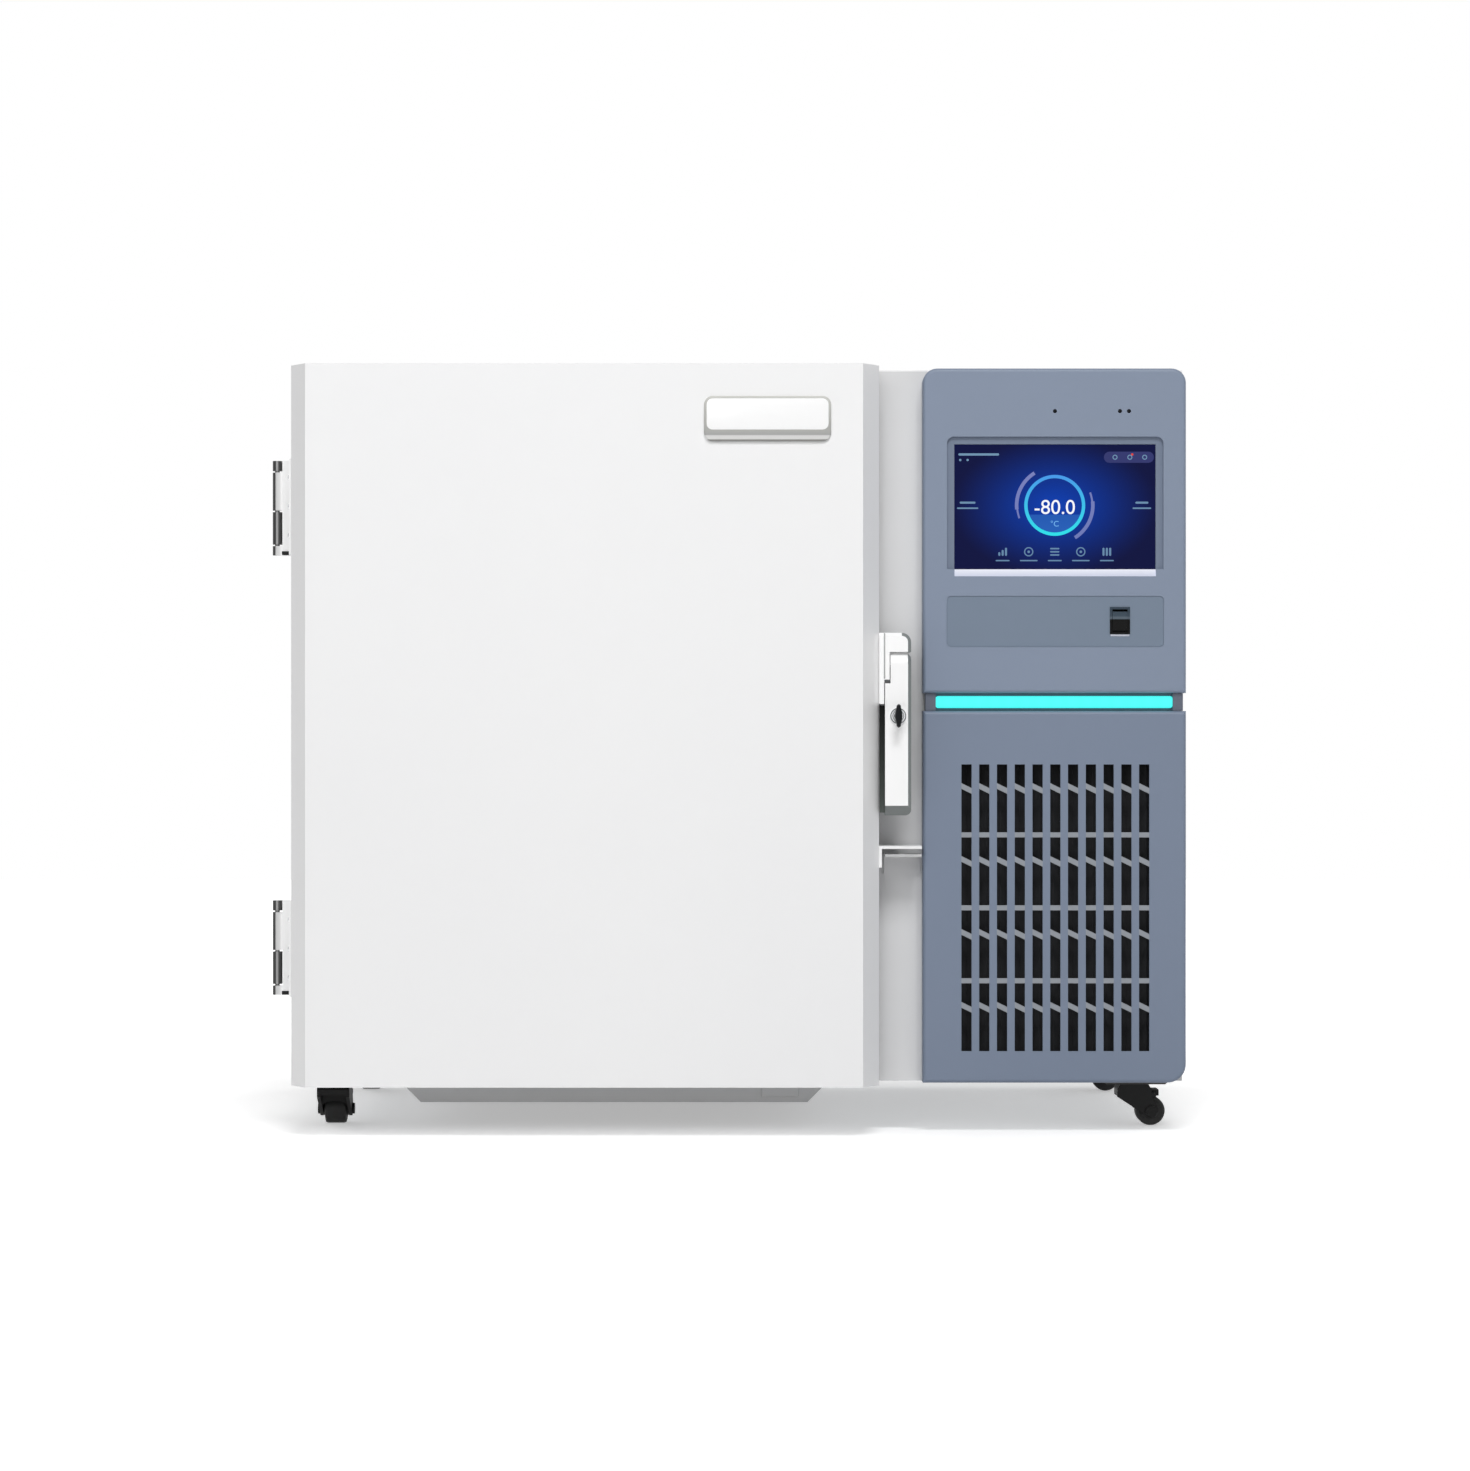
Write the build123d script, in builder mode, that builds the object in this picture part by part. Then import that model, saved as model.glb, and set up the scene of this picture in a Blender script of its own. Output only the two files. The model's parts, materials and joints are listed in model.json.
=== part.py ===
from build123d import *
import math
import os

# Under-counter ultra low temperature freezer: an insulated chamber with two inner doors on the left,
# the machine compartment on the right, on four casters. Millimetres; +X right, +Y back, +Z up;
# the origin is on the floor, in the middle of the overall box.

# Overall
overall_width = 986.0  # hinge barrel to control bezel
overall_depth = 680.0  # nameplate face to rear bumpers
overall_height = 825.0
ground_clearance = 55.0  # floor to the underside of the cabinet, which is the caster height

# Cabinet sheet metal
hinge_overhang = 26.0  # hinge barrel beyond the left side panel
bezel_overhang = 1.5  # bezel beyond the right side panel
sheet = 1.2
frame_sheet = 2.0
tray_sheet = 3.0
bumper_depth = 12.0
bumper_radius = 14.0
bumper_inset = 60.0  # from the cabinet's edges
louvre_size = (110.0, 6.0)
louvre_pitch = (124.0, 16.0)
louvre_count = (2, 18)
louvre_base = 110.0  # first louvre above the underside
machine_width = 286.3  # partition to the right side panel's outer face

# Chamber
chamber_depth = 420.0
side_insulation = 111.0  # left side panel's outer face to chamber
floor_insulation = 115.0  # underside to chamber floor
top_insulation = 115.0  # chamber to the top panel's outer face
partition_insulation = 110.0  # chamber to partition
liner_wall = 1.5
breaker_depth = 20.0
coil_depth = 10.0
coil_height = 14.0
coil_loops = 5
coil_margin = 71.0  # chamber floor to the first loop, and last loop to its top
coil_setback = 60.0  # coil's front end behind the liner's front edge
coil_corner = 9.0

# Shelf and its brackets
shelf_level = 269.0  # above the chamber floor
shelf_sheet = 2.0
shelf_side_gap = 3.0
shelf_lip = 12.0
shelf_front_gap = 6.0  # behind the inner doors
shelf_back_gap = 12.0
shelf_slot = (70.0, 9.0)
shelf_slot_pitch = (100.0, 60.0)
shelf_border = 35.0  # edge of the shelf to its slots, at least
bracket_leg = 28.0
bracket_ledge = 14.0
bracket_sheet = 1.5
bracket_length = 60.0
bracket_setback = 25.0

# Inner doors
inner_door_thick = 38.0
inner_door_setback = 4.0  # behind the liner's front edge
inner_door_side_gap = 4.0
inner_hinge_in = 9.0  # pin axis from the door's left edge
inner_hinge_back = 8.0  # pin axis behind the door's front
inner_pin_radius = 3.0
inner_hinge_sheet = 4.0
inner_hinge_play = 1.0
inner_door_chamfer = 5.0
inner_panel_border = 30.0
inner_panel_sink = 4.0
finger_pull = (18.0, 80.0, 16.0)  # width, height, depth

# Outer door
door_overlap = 1.0  # beyond the left side panel
door_strip = 48.4  # door to bezel, where the handle stands
door_thick = 72.0
door_skin_wall = 1.5
door_liner_wall = 2.5
door_chamfer = (18.0, 27.0)  # across the front, down the side
gasket_gap = 10.0  # door to cabinet
gasket_clearance = 0.3
gasket_inset = 14.0
gasket_width = 24.0
gasket_foot = 4.0
gasket_step = 4.0
plug_depth = 23.0
plug_gap = 6.0  # to the chamber's mouth, all round
nameplate_size = (135.0, 48.0)
nameplate_thick = 5.0
nameplate_corner = 9.0
nameplate_rim = 3.0
nameplate_sink = 0.8
nameplate_place = (119.5, 59.0)  # centre from the door's right edge and top edge

# Hinges
hinge_height = 102.0
hinge_insets = (94.0, 99.0)  # lower hinge above the underside, upper hinge below the top
hinge_barrel_radius = 5.0
hinge_pin_radius = 2.5
hinge_fit = 0.05
hinge_leaf_sheet = 3.0
hinge_flange = 34.0
hinge_knuckles = (10.8, 41.0, 35.0, 10.0)  # from the top: cabinet, door, cabinet, door
hinge_knuckle_gap = (hinge_height - sum(hinge_knuckles)) / 3
hinge_notch_gap = 1.0

# Handle and lock
handle_level = 450.0  # pivot above the underside
handle_back = 27.0  # pivot behind the door's front
handle_pin_radius = 3.0
handle_fit = 0.05
handle_end_radius = 12.0
handle_length = 161.0  # pivot to the lower end
handle_reach = 34.0  # outer face from the door's side
handle_thick = 20.0
handle_step = 20.0  # below the pivot, where the lever widens
handle_cheek = 11.0  # thickness of the base beside the lever's eye
handle_web = 5.2  # thickness of the base below the eye
handle_cheek_drop = 16.0  # pivot to the cheek's lower end
handle_gap = 0.8  # lever to base
handle_wall = 4.0
handle_corner = 6.0
handle_bevel = 3.5  # along the outer front edge of lever and base
handle_taper = 10.0
base_cap_gap = 13.6  # pivot to the cap over the eye
base_cap_height = 20.4
base_cap_radius = 10.0
base_foot = 42.0  # pivot to the base's lower end
base_depth = 39.0
base_setback = 17.0  # base behind the door's front
hook_size = (17.0, 11.0)  # width, height
hook_tip_gap = 1.0  # below the strike
hook_reach = 46.0
lock_drop = 54.8  # below the pivot
lock_plug_radius = 6.0
lock_barrel_radius = 7.0
lock_flange_radius = 8.5
lock_flange = 2.0
lock_fit = 0.05
key_bow = (6.5, 26.0, 15.0)  # thickness, height, depth
key_shank = (2.5, 9.0, 3.0)
strike_height = 12.0
strike_depth = 21.0

# Padlock tabs
tab_sheet = 3.0
tab_hole_radius = 5.0
tab_level = 244.0  # cabinet tab above the underside
tab_gap = 6.0
tab_reach = 47.0
tab_width = 39.0
tab_flange = 20.0
tab_setback = 2.5  # to the bezel

# Control bezel
bezel_width = 283.6
bezel_depth = 27.0
bezel_wall = 3.0
bezel_corner = 15.5
bezel_edge = 4.0
light_groove = (369.3, 349.9)  # lower and upper edge below the top
screen_glass = (217.1, 134.7)
screen_center = (142.45, 149.05)  # from the bezel's left edge, below the top
screen_border = 8.0
screen_corner = 7.5
screen_pocket = 3.5
screen_recess = 6.5
screen_surround = 10.0
screen_margin = 8.0
screen_body = 12.0
indicator_radius = 2.2
indicator_level = 46.2  # below the top
indicator_places = (142.2, 212.2, 221.9)
switch_panel_size = (234.0, 55.0)
switch_panel_center = (142.6, 272.9)
switch_panel_corner = 5.0
switch_panel_sheet = 1.2
switch_panel_pocket = 2.0
trim_gap = 0.2
switch_size = (21.6, 29.1)
switch_center = (212.2, 271.85)
switch_rim = 1.2
switch_body = (19.0, 26.5, 28.0)
rocker_size = (16.0, 21.2)
rocker_gap = 0.2
rocker_crest = 2.6
rocker_depth = 9.0
rocker_tilt = 7.0
channel_end_gap = 3.0
channel_gap = 0.3
channel_depth = 17.0
channel_cap = 22.0
diffuser_inset = 11.2
diffuser_height = 12.9
diffuser_proud = 6.0
diffuser_seat = 6.0
diffuser_corner = 3.0

# Grille and air filter
grille_corner = 20.0
slot_width = 11.04
slot_pitch = (19.14, 78.6)
slot_group = 73.2  # height of one group
slot_bar = 6.2
slot_upper = (20.1, 25.5)  # height of the upper slot at its left and right
slot_margin_side = 39.5  # bezel's edge to the slots, at least
slot_margin_low = 34.15  # underside to the slots
slot_margin_high = 57.0  # slots to the light groove, at least
slot_shift = 0.8  # slot field right of the bezel's middle
lug_size = (4.0, 14.0)
lug_inset = 11.0
lug_levels = (45.0, 55.7)  # above the underside, below the light groove
lug_length = 32.0
lug_gap = 0.5
filter_margin = (16.6, 15.0, 42.7)  # bezel's edge to filter: sides, bottom, top
filter_border = 10.0
filter_thick = 10.0
filter_pleats = 16
filter_media = 1.0
filter_seat = 8.0

# Machine compartment
service_gap = 12.0
condenser_front = 13.0  # behind the cabinet's front
condenser_depth = 50.0
condenser_core = 24.0
condenser_drop = 25.0  # top of the core below the filter's top
condenser_fins = 20
condenser_fin = 1.5
shroud_gap = 15.0
shroud_rise = 7.0  # top of the plate above the filter's top
shroud_sheet = 3.0
fan_radius = 98.0
fan_tip_gap = 6.0
fan_ring_wall = 2.0
fan_ring_depth = 32.0
fan_hub_radius = 28.0
fan_hub_length = 26.0
fan_hub_gap = 3.0
fan_blade_count = 5
fan_blade_sheet = 2.2
fan_blade_chord = (34.0, 52.0)  # root, tip
fan_blade_pitch = 33.0
fan_shaft_radius = 4.0
fan_fit = 0.05
motor_arm = (24.0, 4.0)
motor_radius = 38.0
motor_length = 50.0
compressor_radius = 62.0
compressor_height = 190.0
compressor_foot = (150.0, 100.0, 3.0)
compressor_grommet = (9.0, 12.0)  # radius, height
compressor_across = (76.0, 209.0)  # low and high stage from the partition
compressor_along = (283.0, 186.8)  # low stage from the cabinet's front, high stage from its back wall
exchanger_size = (80.0, 90.0, 260.0)
exchanger_place = (36.8, 245.0)  # from the cabinet's back wall, above the underside
line_radius = 4.0
line_sides = 6
line_bend = 22.0
box_depth = 90.0
box_height = 310.0
box_wall = 1.5
box_opening = (230.0, 240.0)
inlet_place = (50.0, 430.0)  # from the right side panel, above the underside
inlet_flange = (60.0, 34.0, 2.5)
inlet_body = (48.0, 27.0, 35.0)
inlet_recess = (36.0, 20.0, 18.0)
inlet_pin = (2.0, 6.0, 14.0)
inlet_pin_pitch = 10.0

# Belly pan
belly_height = 26.0
belly_slope = 26.0
belly_overlap = (6.0, 18.0)  # pan beyond the chamber, left and right
belly_front = 28.0  # behind the cabinet's front
belly_depth = 500.0
belly_sheet = 2.0
drain_size = (41.0, 14.0, 3.0)
drain_place = 56.0  # from the pan's right edge

# Casters
caster_inset_x = (32.0, 45.5)  # left and right pivots from the side panels
caster_inset_y = (77.0, 95.0)  # front and rear pivots from the cabinet's front and back
caster_rear_shift = 10.0  # right rear pivot inwards of the front one
caster_trail = 18.5
caster_plate = 70.0
caster_plate_thick = 8.0
caster_head_gap = 0.4
caster_stem_radius = 6.0
caster_fit = 0.06
wheel_radius = 16.0
wheel_tread = 22.0
wheel_hub = 27.0
wheel_hub_radius = 8.0
wheel_gap = 1.5
fork_width = 35.6
fork_cheek_gap = 0.5  # cheek to wheel hub
fork_head = 30.0
fork_nose = 18.7
fork_nose_rise = 32.0
axle_radius = 3.0
axle_fit = 0.06
axle_cap_radius = 6.0
axle_cap = 2.4
pedal_pivot = (22.0, 34.5)  # from the swivel axis, above the floor
pedal_pin_radius = 1.6
pedal_ear = 2.8
pedal_size = (7.5, 6.5)
pedal_gap = 0.6

# Planes and edges that follow from the sizes above
cabinet_left = -overall_width / 2 + hinge_overhang
cabinet_right = overall_width / 2 - bezel_overhang
cabinet_base = ground_clearance
cabinet_top = overall_height
door_front = -overall_depth / 2 + nameplate_thick
door_back = door_front + door_thick
cabinet_front = door_back + gasket_gap
cabinet_back = overall_depth / 2 - bumper_depth
inner_left = cabinet_left + sheet
inner_right = cabinet_right - sheet
inner_top = cabinet_top - sheet
inner_back = cabinet_back - sheet
frame_back = cabinet_front + frame_sheet
tray_top = cabinet_base + tray_sheet

partition_right = cabinet_right - machine_width
partition_left = partition_right - sheet
chamber_left = cabinet_left + side_insulation
chamber_right = partition_left - partition_insulation
chamber_floor = cabinet_base + floor_insulation
chamber_top = cabinet_top - top_insulation
chamber_height = chamber_top - chamber_floor
liner_front = cabinet_front + breaker_depth
chamber_back = liner_front + chamber_depth
breaker_width = liner_wall + coil_depth
cavity_back = chamber_back + liner_wall + coil_depth

inner_door_left = chamber_left + inner_door_side_gap
inner_door_right = chamber_right - inner_door_side_gap
inner_door_front = liner_front + inner_door_setback
inner_door_back = inner_door_front + inner_door_thick
inner_axis_x = inner_door_left + inner_hinge_in
inner_axis_y = inner_door_front + inner_hinge_back
shelf_z = chamber_floor + shelf_level
inner_split = shelf_z + shelf_sheet / 2
inner_half_split = inner_hinge_sheet / 2 + inner_hinge_play
inner_end_gap = inner_hinge_sheet + inner_hinge_play

bezel_right = overall_width / 2
bezel_left = bezel_right - bezel_width
bezel_front = cabinet_front - bezel_depth
bezel_middle = (bezel_left + bezel_right) / 2
door_left = cabinet_left - door_overlap
door_right = bezel_left - door_strip
hinge_x = -overall_width / 2 + hinge_barrel_radius
hinge_y = door_back
hinge_bases = (cabinet_base + hinge_insets[0], cabinet_top - hinge_insets[1] - hinge_height)
handle_z = cabinet_base + handle_level
handle_y = door_front + handle_back
handle_outer = door_right + handle_reach
lever_left = door_right + handle_cheek + handle_gap
lever_front = handle_y - handle_end_radius
lever_back = lever_front + handle_thick
lock_x = (door_right + handle_web + handle_gap + handle_outer) / 2
lock_z = handle_z - lock_drop

groove_low = cabinet_top - light_groove[0]
groove_high = cabinet_top - light_groove[1]
screen_x = bezel_left + screen_center[0]
screen_z = cabinet_top - screen_center[1]
panel_x = bezel_left + switch_panel_center[0]
panel_z = cabinet_top - switch_panel_center[1]
panel_face = bezel_front + switch_panel_pocket - switch_panel_sheet
switch_x = bezel_left + switch_center[0]
switch_z = cabinet_top - switch_center[1]
rocker_opening = (rocker_size[0] + 2 * rocker_gap, switch_body[1] - 2 * switch_rim)
rocker_axis_y = panel_face + rocker_depth - 1
filter_left = bezel_left + filter_margin[0]
filter_right = bezel_right - filter_margin[0]
filter_low = cabinet_base + filter_margin[1]
filter_high = groove_low - filter_margin[2]
lug_xs = (bezel_left + lug_inset + lug_size[0] / 2, bezel_right - lug_inset - lug_size[0] / 2)
lug_zs = (cabinet_base + lug_levels[0], groove_low - lug_levels[1])

condenser_top = filter_high - condenser_drop
shroud_top = filter_high + shroud_rise
fan_x = (partition_right + inner_right) / 2
fan_z = (tray_top + shroud_top) / 2
condenser_low_y = cabinet_front + condenser_front
condenser_high_y = condenser_low_y + condenser_depth
shroud_y = condenser_high_y + shroud_gap
ring_back = shroud_y + shroud_sheet + fan_ring_depth
service_left = partition_right + service_gap
service_right = inner_right - service_gap

os.makedirs("parts", exist_ok=True)


def front_plane(y):
    """Plane seen from the front at depth y: sketch x is X, sketch y is Z, extrusion goes forwards."""
    return Plane.XZ.offset(-y)


def side_plane(x):
    """Plane seen along X: sketch x is Y, sketch y is Z, extrusion goes right."""
    return Plane.YZ.offset(x)


def level_plane(z):
    """Plane seen from above: sketch x is X, sketch y is Y, extrusion goes up."""
    return Plane.XY.offset(z)


def rectangle_between(x_low, x_high, y_low, y_high, mode=Mode.ADD):
    """Rectangle between two opposite corners of the current sketch."""
    with Locations(((x_low + x_high) / 2, (y_low + y_high) / 2)):
        Rectangle(x_high - x_low, y_high - y_low, mode=mode)


def rectangle_at(center, size, mode=Mode.ADD):
    """Rectangle of a size round a point of the current sketch."""
    with Locations(center):
        Rectangle(*size, mode=mode)


def circle_at(center, radius, mode=Mode.ADD):
    """Circle round a point of the current sketch."""
    with Locations(center):
        Circle(radius, mode=mode)


# Base tray, with the partition between chamber and machine compartment welded on
with BuildPart() as base_tray:
    with BuildSketch(level_plane(cabinet_base)):
        rectangle_between(inner_left, inner_right, frame_back, inner_back)
    extrude(amount=tray_sheet)
    with BuildSketch(side_plane(partition_left)):
        rectangle_between(frame_back, inner_back, tray_top, inner_top)
    extrude(amount=sheet)
base_tray.part.label = "base_tray"
export_step(base_tray.part, "parts/base_tray.step")

# Belly pan: a tray with sloped sides under the chamber, with the drain block on its front
belly_left = chamber_left - belly_overlap[0]
belly_right = chamber_right + belly_overlap[1]
belly_y = cabinet_front + belly_front
with BuildPart() as belly_pan:
    with BuildSketch(front_plane(belly_y + belly_depth)):
        with BuildLine():
            Polyline(
                (belly_left, cabinet_base),
                (belly_right, cabinet_base),
                (belly_right - belly_slope, cabinet_base - belly_height),
                (belly_left + belly_slope, cabinet_base - belly_height),
                close=True,
            )
        make_face()
    extrude(amount=belly_depth)
    offset(amount=-belly_sheet, openings=belly_pan.faces().sort_by(Axis.Z)[-1])
    with BuildSketch(front_plane(belly_y)):
        rectangle_at((belly_right - drain_place, cabinet_base - belly_height / 2), drain_size[:2])
    extrude(amount=drain_size[2])
    chamfer(belly_pan.faces().sort_by(Axis.Y)[0].edges(), drain_size[2] / 3)
belly_pan.part.label = "belly_pan"
export_step(belly_pan.part, "parts/belly_pan.step")

# Side panels
with BuildPart() as left_side_panel:
    with BuildSketch(side_plane(cabinet_left)):
        rectangle_between(frame_back, cabinet_back, cabinet_base, inner_top)
    extrude(amount=sheet)
left_side_panel.part.label = "left_side_panel"
export_step(left_side_panel.part, "parts/left_side_panel.step")

with BuildPart() as right_side_panel:
    with BuildSketch(side_plane(inner_right)):
        rectangle_between(frame_back, cabinet_back, cabinet_base, inner_top)
    extrude(amount=sheet)
right_side_panel.part.label = "right_side_panel"
export_step(right_side_panel.part, "parts/right_side_panel.step")

# Top panel, a flat worktop
with BuildPart() as top_panel:
    with BuildSketch(level_plane(inner_top)):
        rectangle_between(cabinet_left, cabinet_right, cabinet_front, cabinet_back)
    extrude(amount=sheet)
top_panel.part.label = "top_panel"
export_step(top_panel.part, "parts/top_panel.step")

# Rear panel, with the louvres of the machine compartment and the mains inlet's cut-out
inlet_x = cabinet_right - inlet_place[0]
inlet_z = cabinet_base + inlet_place[1]
louvre_middle = cabinet_base + louvre_base + louvre_pitch[1] * (louvre_count[1] - 1) / 2
with BuildPart() as rear_panel:
    with BuildSketch(front_plane(cabinet_back)):
        rectangle_between(inner_left, inner_right, cabinet_base, inner_top)
        with Locations((fan_x, louvre_middle)):
            with GridLocations(*louvre_pitch, *louvre_count):
                Rectangle(*louvre_size, mode=Mode.SUBTRACT)
        rectangle_at((inlet_x, inlet_z), inlet_body[:2], Mode.SUBTRACT)
    extrude(amount=sheet)
rear_panel.part.label = "rear_panel"
export_step(rear_panel.part, "parts/rear_panel.step")

# Front frame: the sheet that carries breaker frame, bezel and grille
box_center = (bezel_middle, screen_z - screen_glass[1] / 4)
with BuildPart() as front_frame:
    with BuildSketch(front_plane(frame_back)):
        rectangle_between(cabinet_left, cabinet_right, cabinet_base, inner_top)
        rectangle_between(
            chamber_left - breaker_width,
            chamber_right + breaker_width,
            chamber_floor - breaker_width,
            chamber_top + breaker_width,
            Mode.SUBTRACT,
        )
        rectangle_between(
            filter_left + filter_seat,
            filter_right - filter_seat,
            filter_low + filter_seat,
            filter_high - filter_seat,
            Mode.SUBTRACT,
        )
        rectangle_at(box_center, box_opening, Mode.SUBTRACT)
        with Locations(*[(x, z) for x in lug_xs for z in lug_zs]):
            Rectangle(lug_size[0] + 2 * lug_gap, lug_size[1] + 2 * lug_gap, mode=Mode.SUBTRACT)
    extrude(amount=frame_sheet)
front_frame.part.label = "front_frame"
export_step(front_frame.part, "parts/front_frame.step")

# Insulation foam round the chamber
with BuildPart() as insulation_foam:
    with BuildSketch(front_plane(inner_back)):
        rectangle_between(inner_left, partition_left, tray_top, inner_top)
    extrude(amount=inner_back - frame_back)
    with BuildSketch(front_plane(liner_front)):
        rectangle_between(
            chamber_left - breaker_width,
            chamber_right + breaker_width,
            chamber_floor - breaker_width,
            chamber_top + breaker_width,
        )
    extrude(amount=breaker_depth, mode=Mode.SUBTRACT)
    with BuildSketch(front_plane(cavity_back)):
        rectangle_between(
            chamber_left - breaker_width,
            chamber_right + breaker_width,
            chamber_floor - liner_wall,
            chamber_top + liner_wall,
        )
    extrude(amount=cavity_back - liner_front, mode=Mode.SUBTRACT)
insulation_foam.part.label = "insulation_foam"
export_step(insulation_foam.part, "parts/insulation_foam.step")

# Chamber liner, a stainless box open at the front
with BuildPart() as chamber_liner:
    with BuildSketch(front_plane(chamber_back + liner_wall)):
        rectangle_between(
            chamber_left - liner_wall,
            chamber_right + liner_wall,
            chamber_floor - liner_wall,
            chamber_top + liner_wall,
        )
    extrude(amount=chamber_depth + liner_wall)
    with BuildSketch(front_plane(chamber_back)):
        rectangle_between(chamber_left, chamber_right, chamber_floor, chamber_top)
    extrude(amount=chamber_depth, mode=Mode.SUBTRACT)
chamber_liner.part.label = "chamber_liner"
export_step(chamber_liner.part, "parts/chamber_liner.step")

# Breaker frame, the moulded ring between liner and front frame
with BuildPart() as breaker_frame:
    with BuildSketch(front_plane(liner_front)):
        rectangle_between(
            chamber_left - breaker_width,
            chamber_right + breaker_width,
            chamber_floor - breaker_width,
            chamber_top + breaker_width,
        )
        rectangle_between(chamber_left, chamber_right, chamber_floor, chamber_top, Mode.SUBTRACT)
    extrude(amount=breaker_depth)
breaker_frame.part.label = "breaker_frame"
export_step(breaker_frame.part, "parts/breaker_frame.step")

# Evaporator coil: flattened tube in loops round three sides of the liner, joined in a serpentine
coil_pitch = (chamber_height - 2 * coil_margin - coil_height) / (coil_loops - 1)
coil_front = liner_front + coil_setback
with BuildPart() as evaporator_coil:
    for loop in range(coil_loops):
        loop_z = chamber_floor + coil_margin + loop * coil_pitch
        with BuildSketch(level_plane(loop_z)) as loop_outline:
            rectangle_between(
                chamber_left - breaker_width, chamber_right + breaker_width, coil_front, cavity_back
            )
            fillet(loop_outline.vertices().group_by(Axis.Y)[-1], coil_corner)
            rectangle_between(
                chamber_left - liner_wall,
                chamber_right + liner_wall,
                coil_front,
                chamber_back + liner_wall,
                Mode.SUBTRACT,
            )
        extrude(amount=coil_height)
        if loop < coil_loops - 1:
            riser_left = chamber_right + liner_wall if loop % 2 else chamber_left - breaker_width
            with BuildSketch(level_plane(loop_z + coil_height)):
                rectangle_between(riser_left, riser_left + coil_depth, coil_front, coil_front + coil_height)
            extrude(amount=coil_pitch - coil_height)
evaporator_coil.part.label = "evaporator_coil"
export_step(evaporator_coil.part, "parts/evaporator_coil.step")

# Shelf with a front lip and air slots
shelf_left = chamber_left + shelf_side_gap
shelf_right = chamber_right - shelf_side_gap
shelf_front = inner_door_back + shelf_front_gap
shelf_back = chamber_back - shelf_back_gap
shelf_columns, shelf_rows = [
    1 + int((size - 2 * shelf_border - slot) / pitch)
    for size, slot, pitch in zip(
        (shelf_right - shelf_left, shelf_back - shelf_front), shelf_slot, shelf_slot_pitch
    )
]
with BuildPart() as shelf:
    with BuildSketch(side_plane(shelf_left)):
        rectangle_between(shelf_front, shelf_back, shelf_z, shelf_z + shelf_sheet)
        rectangle_between(shelf_front, shelf_front + shelf_sheet, shelf_z - shelf_lip, shelf_z)
    extrude(amount=shelf_right - shelf_left)
    with BuildSketch(level_plane(shelf_z)):
        with Locations(((shelf_left + shelf_right) / 2, (shelf_front + shelf_back) / 2)):
            with GridLocations(*shelf_slot_pitch, shelf_columns, shelf_rows):
                Rectangle(*shelf_slot)
    extrude(amount=shelf_sheet, mode=Mode.SUBTRACT)
shelf.part.label = "shelf"
export_step(shelf.part, "parts/shelf.step")

# Shelf brackets: four angles on the liner's side walls
bracket_backs = (
    shelf_front + bracket_setback + bracket_length,
    shelf_back - bracket_setback,
)
with BuildPart() as shelf_brackets:
    for bracket_back in bracket_backs:
        with BuildSketch(front_plane(bracket_back)):
            for wall, turn in ((chamber_left, 1), (chamber_right, -1)):
                leg = sorted((wall, wall + turn * bracket_sheet))
                ledge = sorted((wall, wall + turn * bracket_ledge))
                rectangle_between(*leg, shelf_z - bracket_leg, shelf_z)
                rectangle_between(*ledge, shelf_z - bracket_sheet, shelf_z)
        extrude(amount=bracket_length)
shelf_brackets.part.label = "shelf_brackets"
export_step(shelf_brackets.part, "parts/shelf_brackets.step")

# Inner door hinges: three plates on the liner's left wall that hold the inner doors' pins
hinge_plate_levels = (
    chamber_floor,
    inner_split - inner_hinge_sheet / 2,
    chamber_top - inner_hinge_sheet,
)
with BuildPart() as inner_door_hinges:
    for plate_z in hinge_plate_levels:
        with BuildSketch(level_plane(plate_z)):
            rectangle_between(
                chamber_left,
                inner_axis_x + inner_hinge_back,
                inner_axis_y - inner_hinge_back,
                inner_axis_y + inner_door_thick / 2,
            )
            circle_at((inner_axis_x, inner_axis_y), inner_pin_radius + hinge_fit, Mode.SUBTRACT)
        extrude(amount=inner_hinge_sheet)
inner_door_hinges.part.label = "inner_door_hinges"
export_step(inner_door_hinges.part, "parts/inner_door_hinges.step")

# Inner doors: foamed slabs with a sunk panel, a finger pull and a pin at each end of the left edge
end_pin = inner_end_gap - inner_hinge_play / 2
split_pin = inner_half_split - inner_hinge_play / 4
inner_door_spans = {
    "inner_door_lower": (chamber_floor + inner_end_gap, inner_split - inner_half_split, end_pin, split_pin),
    "inner_door_upper": (inner_split + inner_half_split, chamber_top - inner_end_gap, split_pin, end_pin),
}
for door_name, (low, high, low_pin, high_pin) in inner_door_spans.items():
    with BuildPart() as inner_door:
        with BuildSketch(front_plane(inner_door_back)):
            rectangle_between(inner_door_left, inner_door_right, low, high)
        extrude(amount=inner_door_thick)
        hinge_edge = inner_door.edges().filter_by(Axis.Z).group_by(Axis.X)[0].sort_by(Axis.Y)[0]
        chamfer(hinge_edge, inner_door_chamfer)
        with BuildSketch(front_plane(inner_door_front)):
            rectangle_between(
                inner_door_left + inner_panel_border,
                inner_door_right - inner_panel_border,
                low + inner_panel_border,
                high - inner_panel_border,
            )
        extrude(amount=-inner_panel_sink, mode=Mode.SUBTRACT)
        with BuildSketch(front_plane(inner_door_front)):
            rectangle_at((inner_door_right - inner_panel_border / 2, (low + high) / 2), finger_pull[:2])
        extrude(amount=-finger_pull[2], mode=Mode.SUBTRACT)
        with BuildSketch(level_plane(low - low_pin)):
            circle_at((inner_axis_x, inner_axis_y), inner_pin_radius)
        extrude(amount=low_pin)
        with BuildSketch(level_plane(high)):
            circle_at((inner_axis_x, inner_axis_y), inner_pin_radius)
        extrude(amount=high_pin)
    inner_door.part.label = door_name
    export_step(inner_door.part, f"parts/{door_name}.step")


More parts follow.
